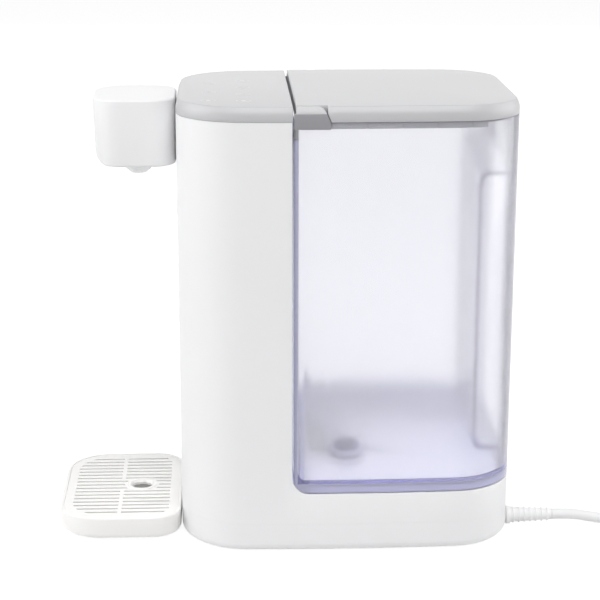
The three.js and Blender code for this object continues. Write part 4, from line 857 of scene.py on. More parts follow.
class OBJECT_OT_dispenser_stage(bpy.types.Operator):
    """Makes the pale floor, the soft lamps and the camera"""

    bl_idname = "object.dispenser_stage"
    bl_label = "Stage and camera"

    def execute(self, context):
        scene = context.scene
        scene.view_settings.view_transform = "Standard"
        data = bpy.data.cameras.new("camera")
        data.sensor_width, data.lens, data.clip_end = SENSOR, FOCAL / PICTURE * SENSOR, 30.0
        camera = bpy.data.objects.new("camera", data)
        scene.collection.objects.link(camera)
        down, yaw, roll = (math.radians(a) for a in (CAMERA_DOWN, CAMERA_YAW, CAMERA_ROLL))
        ahead = Vector((math.sin(yaw) * math.cos(down), math.cos(yaw) * math.cos(down), -math.sin(down)))
        right = Vector((math.cos(yaw), -math.sin(yaw), 0))
        up = right.cross(ahead)
        right, up = (
            right * math.cos(roll) + up * math.sin(roll),
            up * math.cos(roll) - right * math.sin(roll),
        )
        turn = Matrix((right, up, -ahead)).transposed().to_4x4()
        camera.matrix_world = Matrix.Translation(Vector((FRONT, 0, 0)) + Vector(CAMERA) * MM) @ turn
        scene.camera = camera

        floor = bmesh.new()
        bmesh.ops.create_grid(floor, x_segments=1, y_segments=1, size=6.0)
        floor = scratch(floor, "floor")
        floor.data.materials.append(sweep_paper())
        scene.world = studio()

        # Name, place and size in metres, and power in watts.
        lamps = [
            ("left", (-2.1, -0.1, 1.0), 2.0, 28.5),
            ("right", (2.1, 0.1, 0.6), 2.0, 26.0),
            ("key", (0.0, -1.2, 2.1), 2.2, 45.0),
            ("back", (0.1, 2.2, 0.95), 1.7, 4.0),
        ]
        middle = Vector((0, 0, 0.12))
        for name, place, size, power in lamps:
            lamp = bpy.data.lights.new(name, "AREA")
            lamp.size, lamp.energy = size, power
            made = bpy.data.objects.new(name, lamp)
            made.location = place
            made.rotation_euler = (middle - Vector(place)).to_track_quat("-Z", "Y").to_euler()
            scene.collection.objects.link(made)
        return {"FINISHED"}


# The lead. Its free stretch is in metres in the frame, as the solids have it.
FREE_STRETCH = [
    (0.1610, -0.0370, 0.0077), (0.1659, -0.0370, 0.0077), (0.1709, -0.0370, 0.00755),
    (0.1759, -0.0370, 0.0071), (0.1809, -0.0371, 0.0063), (0.1859, -0.0372, 0.0054),
    (0.1909, -0.0374, 0.0047), (0.1959, -0.0377, 0.00435), (0.2019, -0.0382, 0.0042),
    (0.2079, -0.0388, 0.0042), (0.2149, -0.0393, 0.0042), (0.2229, -0.0397, 0.0042),
    (0.2309, -0.0399, 0.0042), (0.2399, -0.0400, 0.0042), (0.2514, -0.0400, 0.0042),
]


def coil_points(diameter, steps):
    """The wound part of the lead: two layers, climbing where the spiral turns back."""
    rise = diameter + COIL_GAP
    inner = COIL_RADIUS - rise * COIL_TURNS
    total = COIL_TURNS * 2 + 0.5
    count = round(total * steps)
    points = []
    for i in range(count + 1):
        turns = total * i / count
        back = turns - COIL_TURNS
        radius = COIL_RADIUS - rise * turns
        if back > 0:
            radius = inner - rise * back + 2 * rise * back * back
        if back > 0.5:
            radius = inner + rise * (back - 0.5)
        share = min(max(back / 0.5, 0.0), 1.0)
        angle = turns * 2 * math.pi - math.pi / 2
        points.append(Vector((
            COIL[0] + radius * math.cos(angle), COIL[1] + radius * math.sin(angle),
            COIL_LOW + rise * share * share * (3 - 2 * share),
        )))
    return points


def lead_path(diameter):
    """The lead's middle line: its free stretch, its coil and its way into the plug."""
    free = [((x - FRONT) / MM, y / MM, z / MM) for x, y, z in FREE_STRETCH]
    coil = coil_points(diameter, 36)
    end = coil[-1]
    return smooth_route(free, 4) + [
        Vector((COIL[0] - diameter / 2, free[-1][1], COIL_LOW)), *coil[1:],
        Vector((end.x, end.y + diameter / 2, end.z)), Vector((end.x, end.y + diameter, end.z)),
    ]


def relief_skin(count, finish):
    """The strain relief: a cone, its rings, and the clamp inside the base."""
    y, z = RELIEF
    start, tip = LENGTH + GAP, LENGTH + 28
    flange, neck = 5.4, 3.3
    cone = turned([
        (0, RELIEF_ROOT), (SHANK, RELIEF_ROOT), (SHANK, start), (flange - 0.4, start), (flange, start + 0.4),
        (flange, start + 2.4), (4.5, start + 3.2), (neck, tip - 1.5), (neck, tip - 0.3), (neck - 0.2, tip),
        (0, tip),
    ], y, z, "x")
    hoops = rings({
        "Count": count, "First": (start + 4.6, y, z), "Last": (tip - 2.6, y, z), "First Radius": 4.35,
        "Last Radius": 3.45, "Wire": 0.62, "Turn": (0, math.pi / 2, 0), "Material": finish,
    })
    x, half = RELIEF_ROOT, CLAMP_HALF
    clamp = slab(x - CLAMP, x + CLAMP, y - half, y + half, 4.3, z + half)
    return together(cone, hoops, soften(clamp, 0.4))


def tie_skin(diameter):
    """The flat band that holds the coil together, upright and closed."""
    half, thick, corner = 4.0, 0.8, 3.0
    rise = diameter + COIL_GAP
    inside = COIL[1] + COIL_RADIUS - rise * (COIL_TURNS + 0.125) - diameter / 2 - GAP
    outside = COIL[1] + COIL_RADIUS + diameter / 2 + GAP
    top = COIL_LOW + rise + diameter / 2 + GAP
    band = []
    for grow in (0.0, thick):
        y0, y1, z0, z1, r = inside - grow, outside + grow, thick - grow, top + grow, corner + grow
        band.append([
            *arc(y1 - r, z0 + r, r, 1.5, 2), *arc(y1 - r, z1 - r, r, 0, 0.5),
            *arc(y0 + r, z1 - r, r, 0.5, 1), *arc(y0 + r, z0 + r, r, 1, 1.5),
        ])
    tie = bmesh.new()
    edges = [(COIL[0] - half, 0), (COIL[0] - half, 1), (COIL[0] + half, 1), (COIL[0] + half, 0)]
    loops = [[tie.verts.new((x, y, z)) for y, z in band[i]] for x, i in edges]
    for a, b in zip(loops, loops[1:] + loops[:1]):
        for i in range(len(a)):
            j = (i + 1) % len(a)
            tie.faces.new((a[i], a[j], b[j], b[i]))
    bmesh.ops.recalc_face_normals(tie, faces=tie.faces)
    return soften(tie, 0.2)


def plug_skins(diameter, tip, finish):
    """The plug's body with its sleeve, and its three blades, from the point where the lead enters it."""
    start = tip.y + GAP
    back = start + 24
    face = back + 32
    neck, half, high, corner = diameter / 2 + 0.8, 17.0, 11.0, 6.0
    # Half width, half height, corner and place along the plug.
    sections = [
        (neck - 0.4, neck - 0.4, neck - 0.4, start), (neck, neck, neck - 0.05, start + 0.5),
        (neck * 1.3, neck * 1.3, neck * 1.2, back - 1.5), (10.5, 8.2, 5.5, back + 3),
        (12.6, 9.2, 5.8, back + 7), (14.4, 10.0, corner, back + 11), (16, 10.6, corner, back + 15),
        (half - 0.1, high - 0.05, corner, back + 19.5), (half, high, corner, back + 23),
        (half, high, corner, face - 0.8), (half - 0.8, high - 0.8, corner - 0.6, face),
    ]
    body = stacked([
        (rounded(-across, across, up, turn, turn, steps=8, side=4), along)
        for across, up, turn, along in sections
    ])
    swap = Matrix(((1, 0, 0, tip.x), (0, 0, 1, 0), (0, 1, 0, tip.z), (0, 0, 0, 1)))
    bmesh.ops.transform(body, matrix=swap, verts=body.verts)
    bmesh.ops.recalc_face_normals(body, faces=body.faces)

    wide, thick, root, long = 3.15, 0.8, 3.7, 18.0
    holes, blades = [], []
    for across, up, lean in ((-6.6, 3.3, math.pi / 6), (6.6, 3.3, -math.pi / 6), (0.0, -7.0, math.pi / 2)):
        turn = Matrix.Rotation(lean + math.pi / 2, 4, "Y")
        place = Matrix.Translation((tip.x + across, 0, tip.z + up)) @ turn
        hole = slab(-wide - GAP, wide + GAP, face - root - GAP, face + 6, -thick - GAP, thick + GAP)
        blade = soften(slab(-wide, wide, face - root, face + long, -thick, thick), 0.35)
        for skin, made in ((hole, holes), (blade, blades)):
            bmesh.ops.transform(skin, matrix=place, verts=skin.verts)
            made.append(skin)
    body = cut(body, *holes)
    hoops = rings({
        "Count": 6, "First": (tip.x, start + 2.2, tip.z), "Last": (tip.x, back - 2.2, tip.z),
        "First Radius": neck - 0.1, "Last Radius": neck * 1.3 - 0.4, "Wire": 0.7,
        "Turn": (math.pi / 2, 0, 0), "Material": finish,
    })
    grips = bars(
        [((tip.x + side * (half - 0.65), back + 15.5 + 2.6 * i, tip.z), (side, 0, 0))
         for side in (-1, 1) for i in range(5)],
        (1.0, 1.3, 9.0), finish,
    )
    return together(body, hoops, grips), blades


class OBJECT_OT_dispenser_lead(bpy.types.Operator):
    """Makes the mains lead with its strain relief, coil, tie and plug"""

    bl_idname = "object.dispenser_lead"
    bl_label = "Mains lead"

    def execute(self, context):
        size = sizes()
        diameter = size.lead_diameter / MM
        finish = material("PVC lead")
        path = lead_path(diameter)
        lead = piece("mains_lead", swept(path, diameter / 2), finish, "machine", ["mains_cord", "cord_coil"],
                     smooth=60)
        piece("strain_relief_sleeve", relief_skin(size.relief_rings, finish), finish, "machine",
              ["strain_relief"], smooth=50)
        piece("lead_tie", tie_skin(diameter), material("black rubber"), "machine", ["coil_tie"])
        body, blades = plug_skins(diameter, path[-1], finish)
        plug = piece("plug_shell", body, finish, "machine", ["plug_body"])
        brass = material("pressed brass")
        made = [
            piece(f"plug_blade_{i + 1}", blade, brass, "machine", [f"plug_pin_{i + 1}"])
            for i, blade in enumerate(blades)
        ]
        steps = zip(path, path[1:])
        sum((b - a).length for a, b in steps) * MM
        return {"FINISHED"}


# The machine.
class OBJECT_OT_dispenser_housing(bpy.types.Operator):
    """Makes the white housing: the column and the deck under the tank"""

    bl_idname = "object.dispenser_housing"
    bl_label = "Housing"

    def execute(self, context):
        low, high = SEAM + JOINT / 2, CAP_LOW - JOINT
        outer = cut(block(machine, [(0, low), (0, high)]), bay(0.0))
        inner = cut(block(machine, [(WALL, low - OVER), (WALL, high + OVER)]), bay(WALL))
        half = NECK_HALF + GAP
        neck = slab(-OVER, OVER, -half, half, NECK_TOP - NECK_HIGH - GAP, NECK_TOP + GAP)
        barrel, seal = 11.2, 15.2
        shell = cut(
            outer, inner, neck, rod(barrel, DECK - OVER, DECK + OVER, *VALVE),
            rod(seal, DECK - 1, DECK + OVER, *VALVE),
        )
        soften(shell, sizes().edge / MM, crisp=(low, high))
        foot, head = 4.6, DECK - 1.3
        bosses = [
            turned([(SCREW_CORE, foot), (BOSS, foot), (BOSS, head), (SCREW_CORE, head)], *place, sides=32)
            for place in SCREWS
        ]
        # Two rails hold the power board by its edge.
        thick, foot, head = 1.6, 66.0, 182.0
        rails = [slab(COLUMN - 6.5, COLUMN - 1.5, y, y + thick, foot, head) for y in (-33.5, -29.7)]
        piece("housing_shell", together(shell, *bosses, *rails), material("white ABS"), "machine", ["housing"])
        return {"FINISHED"}


class OBJECT_OT_dispenser_base(bpy.types.Operator):
    """Makes the base pan with its vents, feet and screws"""

    bl_idname = "object.dispenser_base"
    bl_label = "Base"

    def execute(self, context):
        top, under, sole = SEAM - JOINT / 2, -4.0, 2.5
        outer = block(machine, [*bottom_edge(BASE_EDGE, FOOT), (0, top)])
        lip = block(machine, [(LIP, SEAM - 3), (LIP, SEAM + 3)])
        inner = block(machine, [
            *((inset + LIP + TONGUE, z) for inset, z in bottom_edge(BASE_EDGE, FOOT + WALL)),
            (LIP + TONGUE, SEAM + OVER),
        ])
        tools = [rod(PAD + GAP, under, sole, *place) for place in FEET]
        for place in SCREWS:
            tools += [
                rod(SCREW_CORE, under, OVER, *place, sides=24), rod(SCREW_HEAD + GAP, under, sole, *place),
                rod(BOSS + GAP, 4, 29, *place),
            ]
        x, y, thick, half = RELIEF_ROOT, RELIEF[0], CLAMP + GAP, CLAMP_HALF + GAP
        tools.append(rod(SHANK + GAP, LENGTH - 12, LENGTH + 6, *RELIEF, "x"))
        tools.append(slab(x - thick, x + thick, y - half, y + half, 4, 27))
        tools += magnet_bores(4.4, 11)
        shell = cut(join(outer, lip), inner, *tools)
        shell = slotted_plate(
            shell, block(lambda inset: rounded(104, 160, 30, 8, 8, inset), [(0, -2), (0, 7)]),
            {"Count": 9, "Pitch": 6.0, "Width": 2.2, "Length": 90.0, "Height": 30.0, "Centre": (132, 0, 0),
             "Material": material("white ABS")},
        )
        soften(shell, sizes().edge / MM * 0.7, crisp=(top,))
        piece("base_pan", shell, material("white ABS"), "machine", ["base_cover"])
        for i, place in enumerate(FEET):
            foot = turned([
                (0, 0.5), (4.4, 0.5), (5.0, 0), (6.8, 0), (PAD - 0.3, 0.5), (PAD, 1.2), (PAD, PAD_TOP),
                (0, PAD_TOP),
            ], *place)
            piece(f"foot_pad_{i + 1}", foot, material("black rubber"), "machine", [f"foot_{i + 1}"],
                  smooth=50)
        low, under, shaft, tip = 1.2, 2.2, 1.4, 16.3
        for i, (x, y) in enumerate(SCREWS):
            head = turned([
                (0, low), (SCREW_HEAD - 0.3, low), (SCREW_HEAD, low + 0.3), (SCREW_HEAD, under),
                (shaft, under), (shaft, tip - 0.5), (shaft - 0.5, tip), (0, tip),
            ], x, y, sides=32)
            cross = [slab(x - a, x + a, y - b, y + b, 0, 1.9) for a, b in ((1.9, 0.35), (0.35, 1.9))]
            piece(f"base_screw_head_{i + 1}", cut(head, *cross), material("drawn steel"), "machine",
                  [f"base_screw_{i + 1}"])
        return {"FINISHED"}


PRINT = 0.05  # the ink's thickness, drawn a little thicker than real


def mark(points, z):
    """A flat printed mark from an outline."""
    return stacked([(points, z), (points, z + PRINT)])


def hoop(x, y, radius, wide, z, sides=32):
    """A printed ring of the given middle radius and line width."""
    low, high = radius - wide / 2, radius + wide / 2
    return turned([(low, z), (high, z), (high, z + PRINT), (low, z + PRINT)], x, y, sides=sides)


def key_marks(x, y, z, kind):
    """The ring of one touch key with a plain sign in it: a drop, a dial or three dots."""
    marks = [hoop(x, y, 3.9, 0.45, z)]
    if kind == 0:
        turns = [2 * math.pi * k / 24 for k in range(24)]
        drop = [(x + 1.9 * math.sin(a) * math.sin(a / 2) ** 1.2, y + 2.2 * math.cos(a)) for a in turns]
        marks.append(mark(drop[::-1], z))
    elif kind == 1:
        bar = [(x - 1.6, y - 0.3), (x + 1.6, y - 0.3), (x + 1.6, y + 0.3), (x - 1.6, y + 0.3)]
        marks += [mark(bar, z), hoop(x, y, 2.2, 0.4, z, 24)]
    else:
        marks += [hoop(x, y + 1.6 * k, 0.45, 0.5, z, 12) for k in (-1, 0, 1)]
    return marks


class OBJECT_OT_dispenser_cap(bpy.types.Operator):
    """Makes the grey cap over the column and the printed marks of its touch keys"""

    bl_idname = "object.dispenser_cap"
    bl_label = "Cap"

    def execute(self, context):
        def behind(x):
            return slab(x, FAR, -WIDE, WIDE, -OVER, FAR)

        wall, depth = 2.4, LIP + TONGUE
        outer = cut(block(machine, [(0, CAP_LOW), *shoulder(HEIGHT)]), behind(COLUMN + GAP))
        lip = cut(block(machine, [(LIP, CAP_LOW - 6), (LIP, CAP_LOW + wall)]), behind(COLUMN - LIP))
        inner = cut(block(machine, [(depth, CAP_LOW - 12), (depth, HEIGHT - wall)]), behind(COLUMN - depth))
        shell = soften(cut(join(outer, lip), inner), sizes().edge / MM)
        posts = [
            rod(2.5, HEIGHT - 4.7, HEIGHT - 1.2, x, side * 29, sides=24)
            for x in (16.0, 48.0) for side in (-1, 1)
        ]
        piece("cap_shell", together(shell, *posts), material("grey ABS"), "machine", ["top_cap"])

        keys = [(18.5, -46), (18.5, -16), (18.5, 16), (38, -47), (38, -24), (38, 2), (38, 28)]
        marks = [skin for i, place in enumerate(keys) for skin in key_marks(*place, HEIGHT, i % 3)]
        piece("touch_marks", together(*marks), material("white ink"), "machine", [])
        return {"FINISHED"}


class OBJECT_OT_dispenser_spout(bpy.types.Operator):
    """Makes the spout head, its lower cover and the nozzle"""

    bl_idname = "object.dispenser_spout"
    bl_label = "Spout"

    def execute(self, context):
        def spout(levels):
            return stacked([(spout_plan(inset, z), z) for inset, z in levels])

        wall = 2.4
        outer = spout([*bottom_edge(1.6, SPOUT_LOW, 4), *top_edge(1.4, SPOUT_TOP, 5)])
        # The front face turns under in one larger round, seen from the side.
        turn, face = 9.0, -46.68
        back, ahead, low = 30.0, -60.0, SPOUT_LOW - 2
        outer = keep(outer, profile([
            (back, low), (back, FAR), (ahead, FAR), (ahead, SPOUT_LOW + turn),
            *arc(face + turn, SPOUT_LOW + turn, turn, 1, 1.5, 16), (face + turn + 0.5, low),
        ], -60, 60))
        inner = spout([(wall, SPOUT_LOW - OVER), (wall, SPOUT_TOP - wall)])
        start, end, foot = -5.0, 5.2, NECK_TOP - NECK_HIGH
        neck = slab(start, end, -NECK_HALF, NECK_HALF, foot, NECK_TOP)
        flange = slab(end - wall, end, -NECK_HALF - 4, NECK_HALF + 4, foot - 4, NECK_TOP + 4)
        duct = slab(-12, 12, 2 - NECK_HALF, NECK_HALF - 2, foot + 2, NECK_TOP - 2)
        shell = soften(cut(join(cut(outer, inner), neck, flange), duct), sizes().edge / MM)
        piece("spout_head", shell, material("white ABS"), "machine", ["spout_housing"])

        low, inset = SPOUT_LOW + 1.2, wall + GAP
        hole = rod(NOZZLE + GAP, low - OVER, low + OVER, NOZZLE_X, 0)
        plate = cut(spout([(inset, low), (inset, low + 1.8)]), hole)
        piece("spout_plate", soften(plate, 0.3), material("white ABS"), "machine", ["spout_cover"])

        tip, rim = SPOUT_LOW - 8, low + 2.1
        nozzle = turned([
            (3, tip + 0.4), (3.4, tip), (4.3, tip), (4.8, tip + 0.3), (8.3, tip + 3.2), (8.9, tip + 3.9),
            (NOZZLE - 0.3, low - 1.6), (NOZZLE, low), (NOZZLE, rim), (NOZZLE + 1.6, rim),
            (NOZZLE + 1.6, rim + 1.6), (4, rim + 1.6), (4, rim + 3.2), (3, rim + 3.2),
        ], NOZZLE_X, 0, sides=64)
        piece("nozzle_tip", nozzle, material("white ABS"), "machine", ["nozzle"], smooth=35)
        return {"FINISHED"}


class OBJECT_OT_dispenser_tray(bpy.types.Operator):
    """Makes the drip tray and its slotted plate"""

    bl_idname = "object.dispenser_tray"
    bl_label = "Drip tray"

    def execute(self, context):
        size = sizes()
        wall, round_low = 4.4, bottom_edge(3, TRAY_LIFT)
        outer = block(tray_plan, [*round_low, *top_edge(1, TRAY_TOP, 4)])
        inner = block(tray_plan, [
            *((inset * 0.7 + wall, z + 2.2) for inset, z in round_low), (wall, TRAY_TOP + OVER),
        ])
        pads = [
            turned([(0, 0), (4.2, 0), (4.7, 0.5), (4.7, TRAY_LIFT + 0.6), (0, TRAY_LIFT + 0.6)], x, y)
            for x in (-56, -13) for y in (-36, 36)
        ]
        recess = block(tray_plan, [(1.8, TRAY_TOP - 2.8), (1.8, TRAY_TOP + OVER)])
        tray = soften(cut(join(outer, *pads), inner, recess, *magnet_bores(-3.5, 6)), 0.4)
        # The tray's paler white is painted light over the shade of the column and spout.
        finish = material("white ABS, satin, painted light")
        piece("tray_basin", tray, finish, "tray", ["drip_tray"])

        low, inset, under, over = TRAY_TOP - 2.5, 1.85, 9.0, 19.0
        plate = block(tray_plan, [(inset, low), (inset, low + 1.9), (inset + 0.3, low + 2.2)])
        rim, bore = 8.9, 6.0
        ring = turned([
            (0, low), (rim, low), (rim, low + 2.3), (rim - 0.5, low + 2.8), (0, low + 2.8),
        ], DRAIN_X, 0, sides=64)
        drain = turned([
            (0, low - under), (bore, low - under), (bore, low + 1.4), (bore + 1.2, low + 2.9),
            (bore + 1.2, low + over), (0, low + over),
        ], DRAIN_X, 0, sides=64)
        # The slots leave a margin, a ring round the drain and a bar across the plate.
        margin, bar = 7.2, (-38.1, -35.9)
        bars_across = [
            slab(*bar, y0, y1, low - under, low + over) for y0, y1 in ((rim + GAP, WIDE), (-WIDE, -rim - GAP))
        ]
        field = cut(
            block(tray_plan, [(margin, low - 6), (margin, low + OVER)]),
            rod(rim + 1.5, low - under, low + over, DRAIN_X, 0), *bars_across,
        )
        plate = slotted_plate(cut(join(plate, ring), drain), field, {
            "Count": size.slot_count, "Pitch": size.slot_pitch / MM, "Width": size.slot_width / MM,
            "Length": 90.0, "Height": 20.0, "Centre": (-36.0, 0, low + 1), "Material": finish,
        })
        piece("drip_plate", soften(plate, 0.65, 3), finish, "grille", ["drip_grille"])
        return {"FINISHED"}


# The tank and its lid.
def front_rounded(front, low, radius):
    """Everything behind a front face that turns under in a round, seen from the side."""
    far = LENGTH + OVER
    round_low = arc(front + radius, low + radius, radius, 1, 1.5)
    return profile([(far, low), (far, FAR), (front, FAR), *round_low], -WIDE, WIDE)


def hand_recess(growth):
    """The recess for the fingers at the tank's rear."""
    x0, y0, z0, z1, r = LENGTH - 18.5 - growth, 36 + growth, 50 - growth, HEIGHT - 49.3 + growth, 6
    far = LENGTH + OVER
    outline = [(far, z0), (far, z1), *arc(x0 + r, z1 - r, r, 0.5, 1, 6), *arc(x0 + r, z0 + r, r, 1, 1.5, 6)]
    return profile(outline, -y0, y0)


class OBJECT_OT_dispenser_tank(bpy.types.Operator):
    """Makes the clear water tank"""

    bl_idname = "object.dispenser_tank"
    bl_label = "Tank"

    def execute(self, context):
        wall, turn = TANK_WALL, 9.5
        outer = keep(
            block(tank_plan, [*bottom_edge(1.5, TANK_LOW, 4), (0, COLLAR_TOP - 0.1)]),
            front_rounded(TANK_FRONT, TANK_LOW, turn),
        )
        inner = keep(
            block(tank_plan, [
                *((wall + inset, z) for inset, z in bottom_edge(2.0, TANK_FLOOR, 4)), (wall, HEIGHT),
            ]),
            front_rounded(TANK_FRONT + wall, TANK_FLOOR, turn - wall),
        )
        under = keep(
            block(tank_plan, [(wall, TANK_LOW - OVER), (wall, TANK_FLOOR - 3)]),
            slab(TANK_FRONT + turn, LENGTH, -WIDE, WIDE, 0, FAR),
        )
        ahead = TANK_FRONT - OVER
        notch = slab(ahead, TANK_FRONT + wall + GAP, -EAR, EAR, COLLAR_LOW - 3.4, HEIGHT)
        corners = [
            slab(ahead, x1, y0, y1, low, HEIGHT)
            for y0, y1 in ((-WIDE, GAP - EAR), (EAR - GAP, WIDE))
            for x1, low in ((TANK_FRONT + 2.9, COLLAR_LOW - 5.7), (PIN_X + 7.9, COLLAR_LOW - JOINT))
        ]
        shell = cut(
            outer, cut(inner, hand_recess(wall)), hand_recess(0.0), under, notch, *corners,
            rod(BARREL_OUT + GAP, TANK_LOW - OVER, TANK_FLOOR + OVER, *VALVE),
        )
        soften(shell, 0.45, 3)
        skirt, strip = TANK_FLOOR - 0.6, TANK_FRONT + 2.3
        for at, way in (((0, 0, skirt), (0, 0, 1)), ((strip, 0, 0), (1, 0, 0))):
            bmesh.ops.bisect_plane(
                shell, geom=[*shell.verts, *shell.edges, *shell.faces], plane_co=at, plane_no=way, dist=MERGE
            )
        made = piece("tank_shell", shell, material("clear SAN"), "tank", ["tank"])
        # The skirt and the front wall are seen edge on: the violet that light gathers a long way through the
        # plastic is painted on them, and the floor plate gets painted shade.
        for finish in ("clear SAN, painted edge-on violet", "clear SAN, floor, painted shade"):
            made.data.materials.append(material(finish))
        for face in made.data.polygons:
            low = face.center.z < skirt * MM and abs(face.normal.z) < 0.8
            front = face.center.x < FRONT + strip * MM and abs(face.normal.x) < 0.9
            if low or front:
                face.material_index = 1
            # The floor plate's faces take the duller copy: painted shade.
            elif face.center.z < (TANK_FLOOR + 1) * MM and abs(face.normal.z) > 0.8:
                face.material_index = 2
        return {"FINISHED"}


def lid_levels(low):
    """The skirt that the lid and the ears share, up to the lid's shoulder."""
    return [(0, low), *shoulder(LID_TOP - CROWN)]


class OBJECT_OT_dispenser_collar(bpy.types.Operator):
    """Makes the grey collar inside the tank's rim, with its ears and grooves"""

    bl_idname = "object.dispenser_collar"
    bl_label = "Collar"

    def execute(self, context):
        size = sizes()
        depth = TANK_WALL + 0.1
        over = LID_TOP + OVER
        band = block(tank_plan, [(depth, COLLAR_LOW), (depth, COLLAR_TOP + 4.4)])
        inner = block(tank_plan, [(4.3, COLLAR_LOW - 15), (4.3, over)])
        front = slab(0, TANK_FRONT + 6.45, -EAR, EAR, 0, over)
        rear = slab(LENGTH - 22, LENGTH + OVER, -WIDE, WIDE, 0, COLLAR_LOW + 2.6)
        shell = cut(band, inner, front, rear)
        bore = rod(PIN_BORE, -EAR - 3.3, EAR + 3.3, PIN_X, PIN_Z, "y", 32)

        # The ears: a foot down the tank's corner, a lower part in the collar's darker grey, which is painted
        # shade, and a lighter tip with a round top.
        top = 6.1
        outline = [
            (EAR_FRONT, COLLAR_LOW), (PIN_X + 7.8, COLLAR_LOW), (PIN_X + 7.7, LID_LOW),
            (PIN_X + 5.9, EAR_SPLIT - 0.5), *arc(PIN_X, PIN_Z, top, 0.09, 0.5), (EAR_FRONT, PIN_Z + top),
        ]
        tips = []
        for side in (-1, 1):
            y0, y1 = sorted((side * EAR, side * WIDE))
            ear = block(machine, [*lid_levels(COLLAR_LOW), (20, LID_TOP)])
            low = keep(profile(outline, y0, y1), ear.copy(), slab(0, FAR, -WIDE, WIDE, 0, EAR_SPLIT))
            wide = profile(outline, *sorted((side * (CHEEK + JOINT), side * WIDE)))
            high = keep(wide, ear, slab(LID_FRONT, FAR, -WIDE, WIDE, EAR_SPLIT + JOINT, FAR))
            tips.append(soften(high, 0.25))
            foot = keep(slab(0, TANK_FRONT + 2.6, y0, y1, 0, COLLAR_TOP),
                        block(tank_plan, [(0, COLLAR_LOW - 5.4), (0, COLLAR_LOW + 0.5)]))
            shell = join(shell, low, foot)
        piece("ear_tips", together(*tips), material("grey ABS"), "tank", [])

        pitch, width = size.groove_pitch / MM, size.groove_width / MM
        middle = (COLLAR_LOW + COLLAR_TOP) / 2
        places = []
        for i in range(5):
            x = 85.4 + pitch * i
            y = WIDTH / 2 * width_left(x) - depth
            if x < LENGTH - REAR_ROUND + 4:
                places += [((x, -y, middle), (0, -1, 0)), ((x, y, middle), (0, 1, 0))]
        places += [((LENGTH - depth, y, middle), (1, 0, 0)) for y in (-pitch, 0.0, pitch)]
        # The collar's deeper grey is painted shade from the lid above it.
        finish = material("collar ABS, painted shade")
        grooves = bars(places, (width, 1.4, COLLAR_TOP - COLLAR_LOW + 0.6), finish)
        shell = soften(cut(shell, bore, grooves), 0.2)
        piece("collar_ring", shell, finish, "tank", ["tank_collar"])
        return {"FINISHED"}


class OBJECT_OT_dispenser_lid(bpy.types.Operator):
    """Makes the crowned flip lid, its seal and its pins"""

    bl_idname = "object.dispenser_lid"
    bl_label = "Lid"

    def execute(self, context):
        wall, rise = 2.4, 52
        crown = [
            (2.6 + s, LID_TOP - CROWN + CROWN * math.sin(s / rise * math.pi / 2))
            for s in (2, 6, 12, 20, 32, rise)
        ]
        base = LID_TOP - 0.6
        front = LID_FRONT
        shape = profile([
            (front, 0), (LENGTH + OVER, 0), (LENGTH + OVER, FAR), (front + 4, FAR), (front + 4, base + 0.6),
            (front + 2.6, base + 0.35), *arc(front + 1.5, base - 1.5, 1.5, 0.5, 1, 6),
        ], -WIDE, WIDE)
        outer = keep(block(machine, [*lid_levels(LID_LOW), *crown]), shape)
        inner = keep(block(machine, [(wall, 0), (wall, base - wall)]),
                     slab(front + wall, FAR, -WIDE, WIDE, 0, FAR))
        lip = PIN_X + 6.2
        # Beside each ear the skirt is open, and behind the ear it starts on a slant.
        top = EAR_SPLIT + GAP
        slant = [(lip - 2, LID_LOW - 2), (lip + 2.9, LID_LOW - 2), (lip, top), (lip - 2, top)]
        beside = ((-WIDE, -CHEEK), (CHEEK, WIDE))
        sides = [slab(0, lip, y0, y1, 0, FAR) for y0, y1 in beside]
        slants = [profile(slant, y0, y1) for y0, y1 in beside]
        shell = cut(outer, inner, *sides, *slants)
        reach, radius, web, top = CHEEK - 5.6, 4.0, PIN_X + 7.2, base - 1.2
        knuckle = [*arc(PIN_X, PIN_Z, radius, 1, 1.9), (web, PIN_Z + 1), (web, top), (PIN_X - radius, top)]
        for y0, y1 in ((-CHEEK, -reach), (reach, CHEEK)):
            shell = join(shell, profile(knuckle, y0, y1))
        shell = cut(shell, rod(PIN_BORE, -WIDE, WIDE, PIN_X, PIN_Z, "y", 32))
        piece("lid_shell", soften(shell, 0.25), material("grey ABS"), "lid", ["lid"])

        high, inset = base - wall - GAP, wall + GAP
        levels = [(inset, high - 0.9), (inset, high)]
        hollow = block(machine, [(4.3, 0), (4.3, FAR)])
        ring = cut(block(machine, levels), hollow, slab(0, lip + 1.6, -WIDE, WIDE, 0, FAR))
        across = keep(block(machine, levels), slab(lip, lip + 1.6, -WIDE, WIDE, 0, FAR))
        piece("lid_gasket", soften(join(ring, across), 0.15), material("milky silicone"), "lid", ["lid_seal"])
        for word, y0, y1 in (("near", -EAR - 3, -reach), ("far", reach, EAR + 3)):
            pin = turned([
                (0, y0), (1.2, y0), (1.5, y0 + 0.3), (1.5, y1 - 0.3), (1.2, y1), (0, y1),
            ], PIN_X, PIN_Z, "y", 32)
            piece(f"hinge_pin_{word}", pin, material("drawn steel"), "lid", [f"lid_pin_{word}"])
        return {"FINISHED"}


# The inner pieces.
def valve_housing(flange):
    """The barrel with its flange on the tank's floor and the seat inside it."""
    low, seat = DECK - 8.4, SEAT - 1.4
    out, rim, top = BARREL_OUT, 11.0, flange + 1.6
    return turned([
        (BARREL, low), (out - 0.4, low), (out, low + 0.5), (out, flange), (rim - 0.4, flange),
        (rim, flange + 0.4), (rim, top - 0.4), (rim - 0.4, top), (BARREL, top), (BARREL, SEAT), (4, SEAT),
        (4, seat), (BARREL, seat),
    ], *VALVE, sides=64)


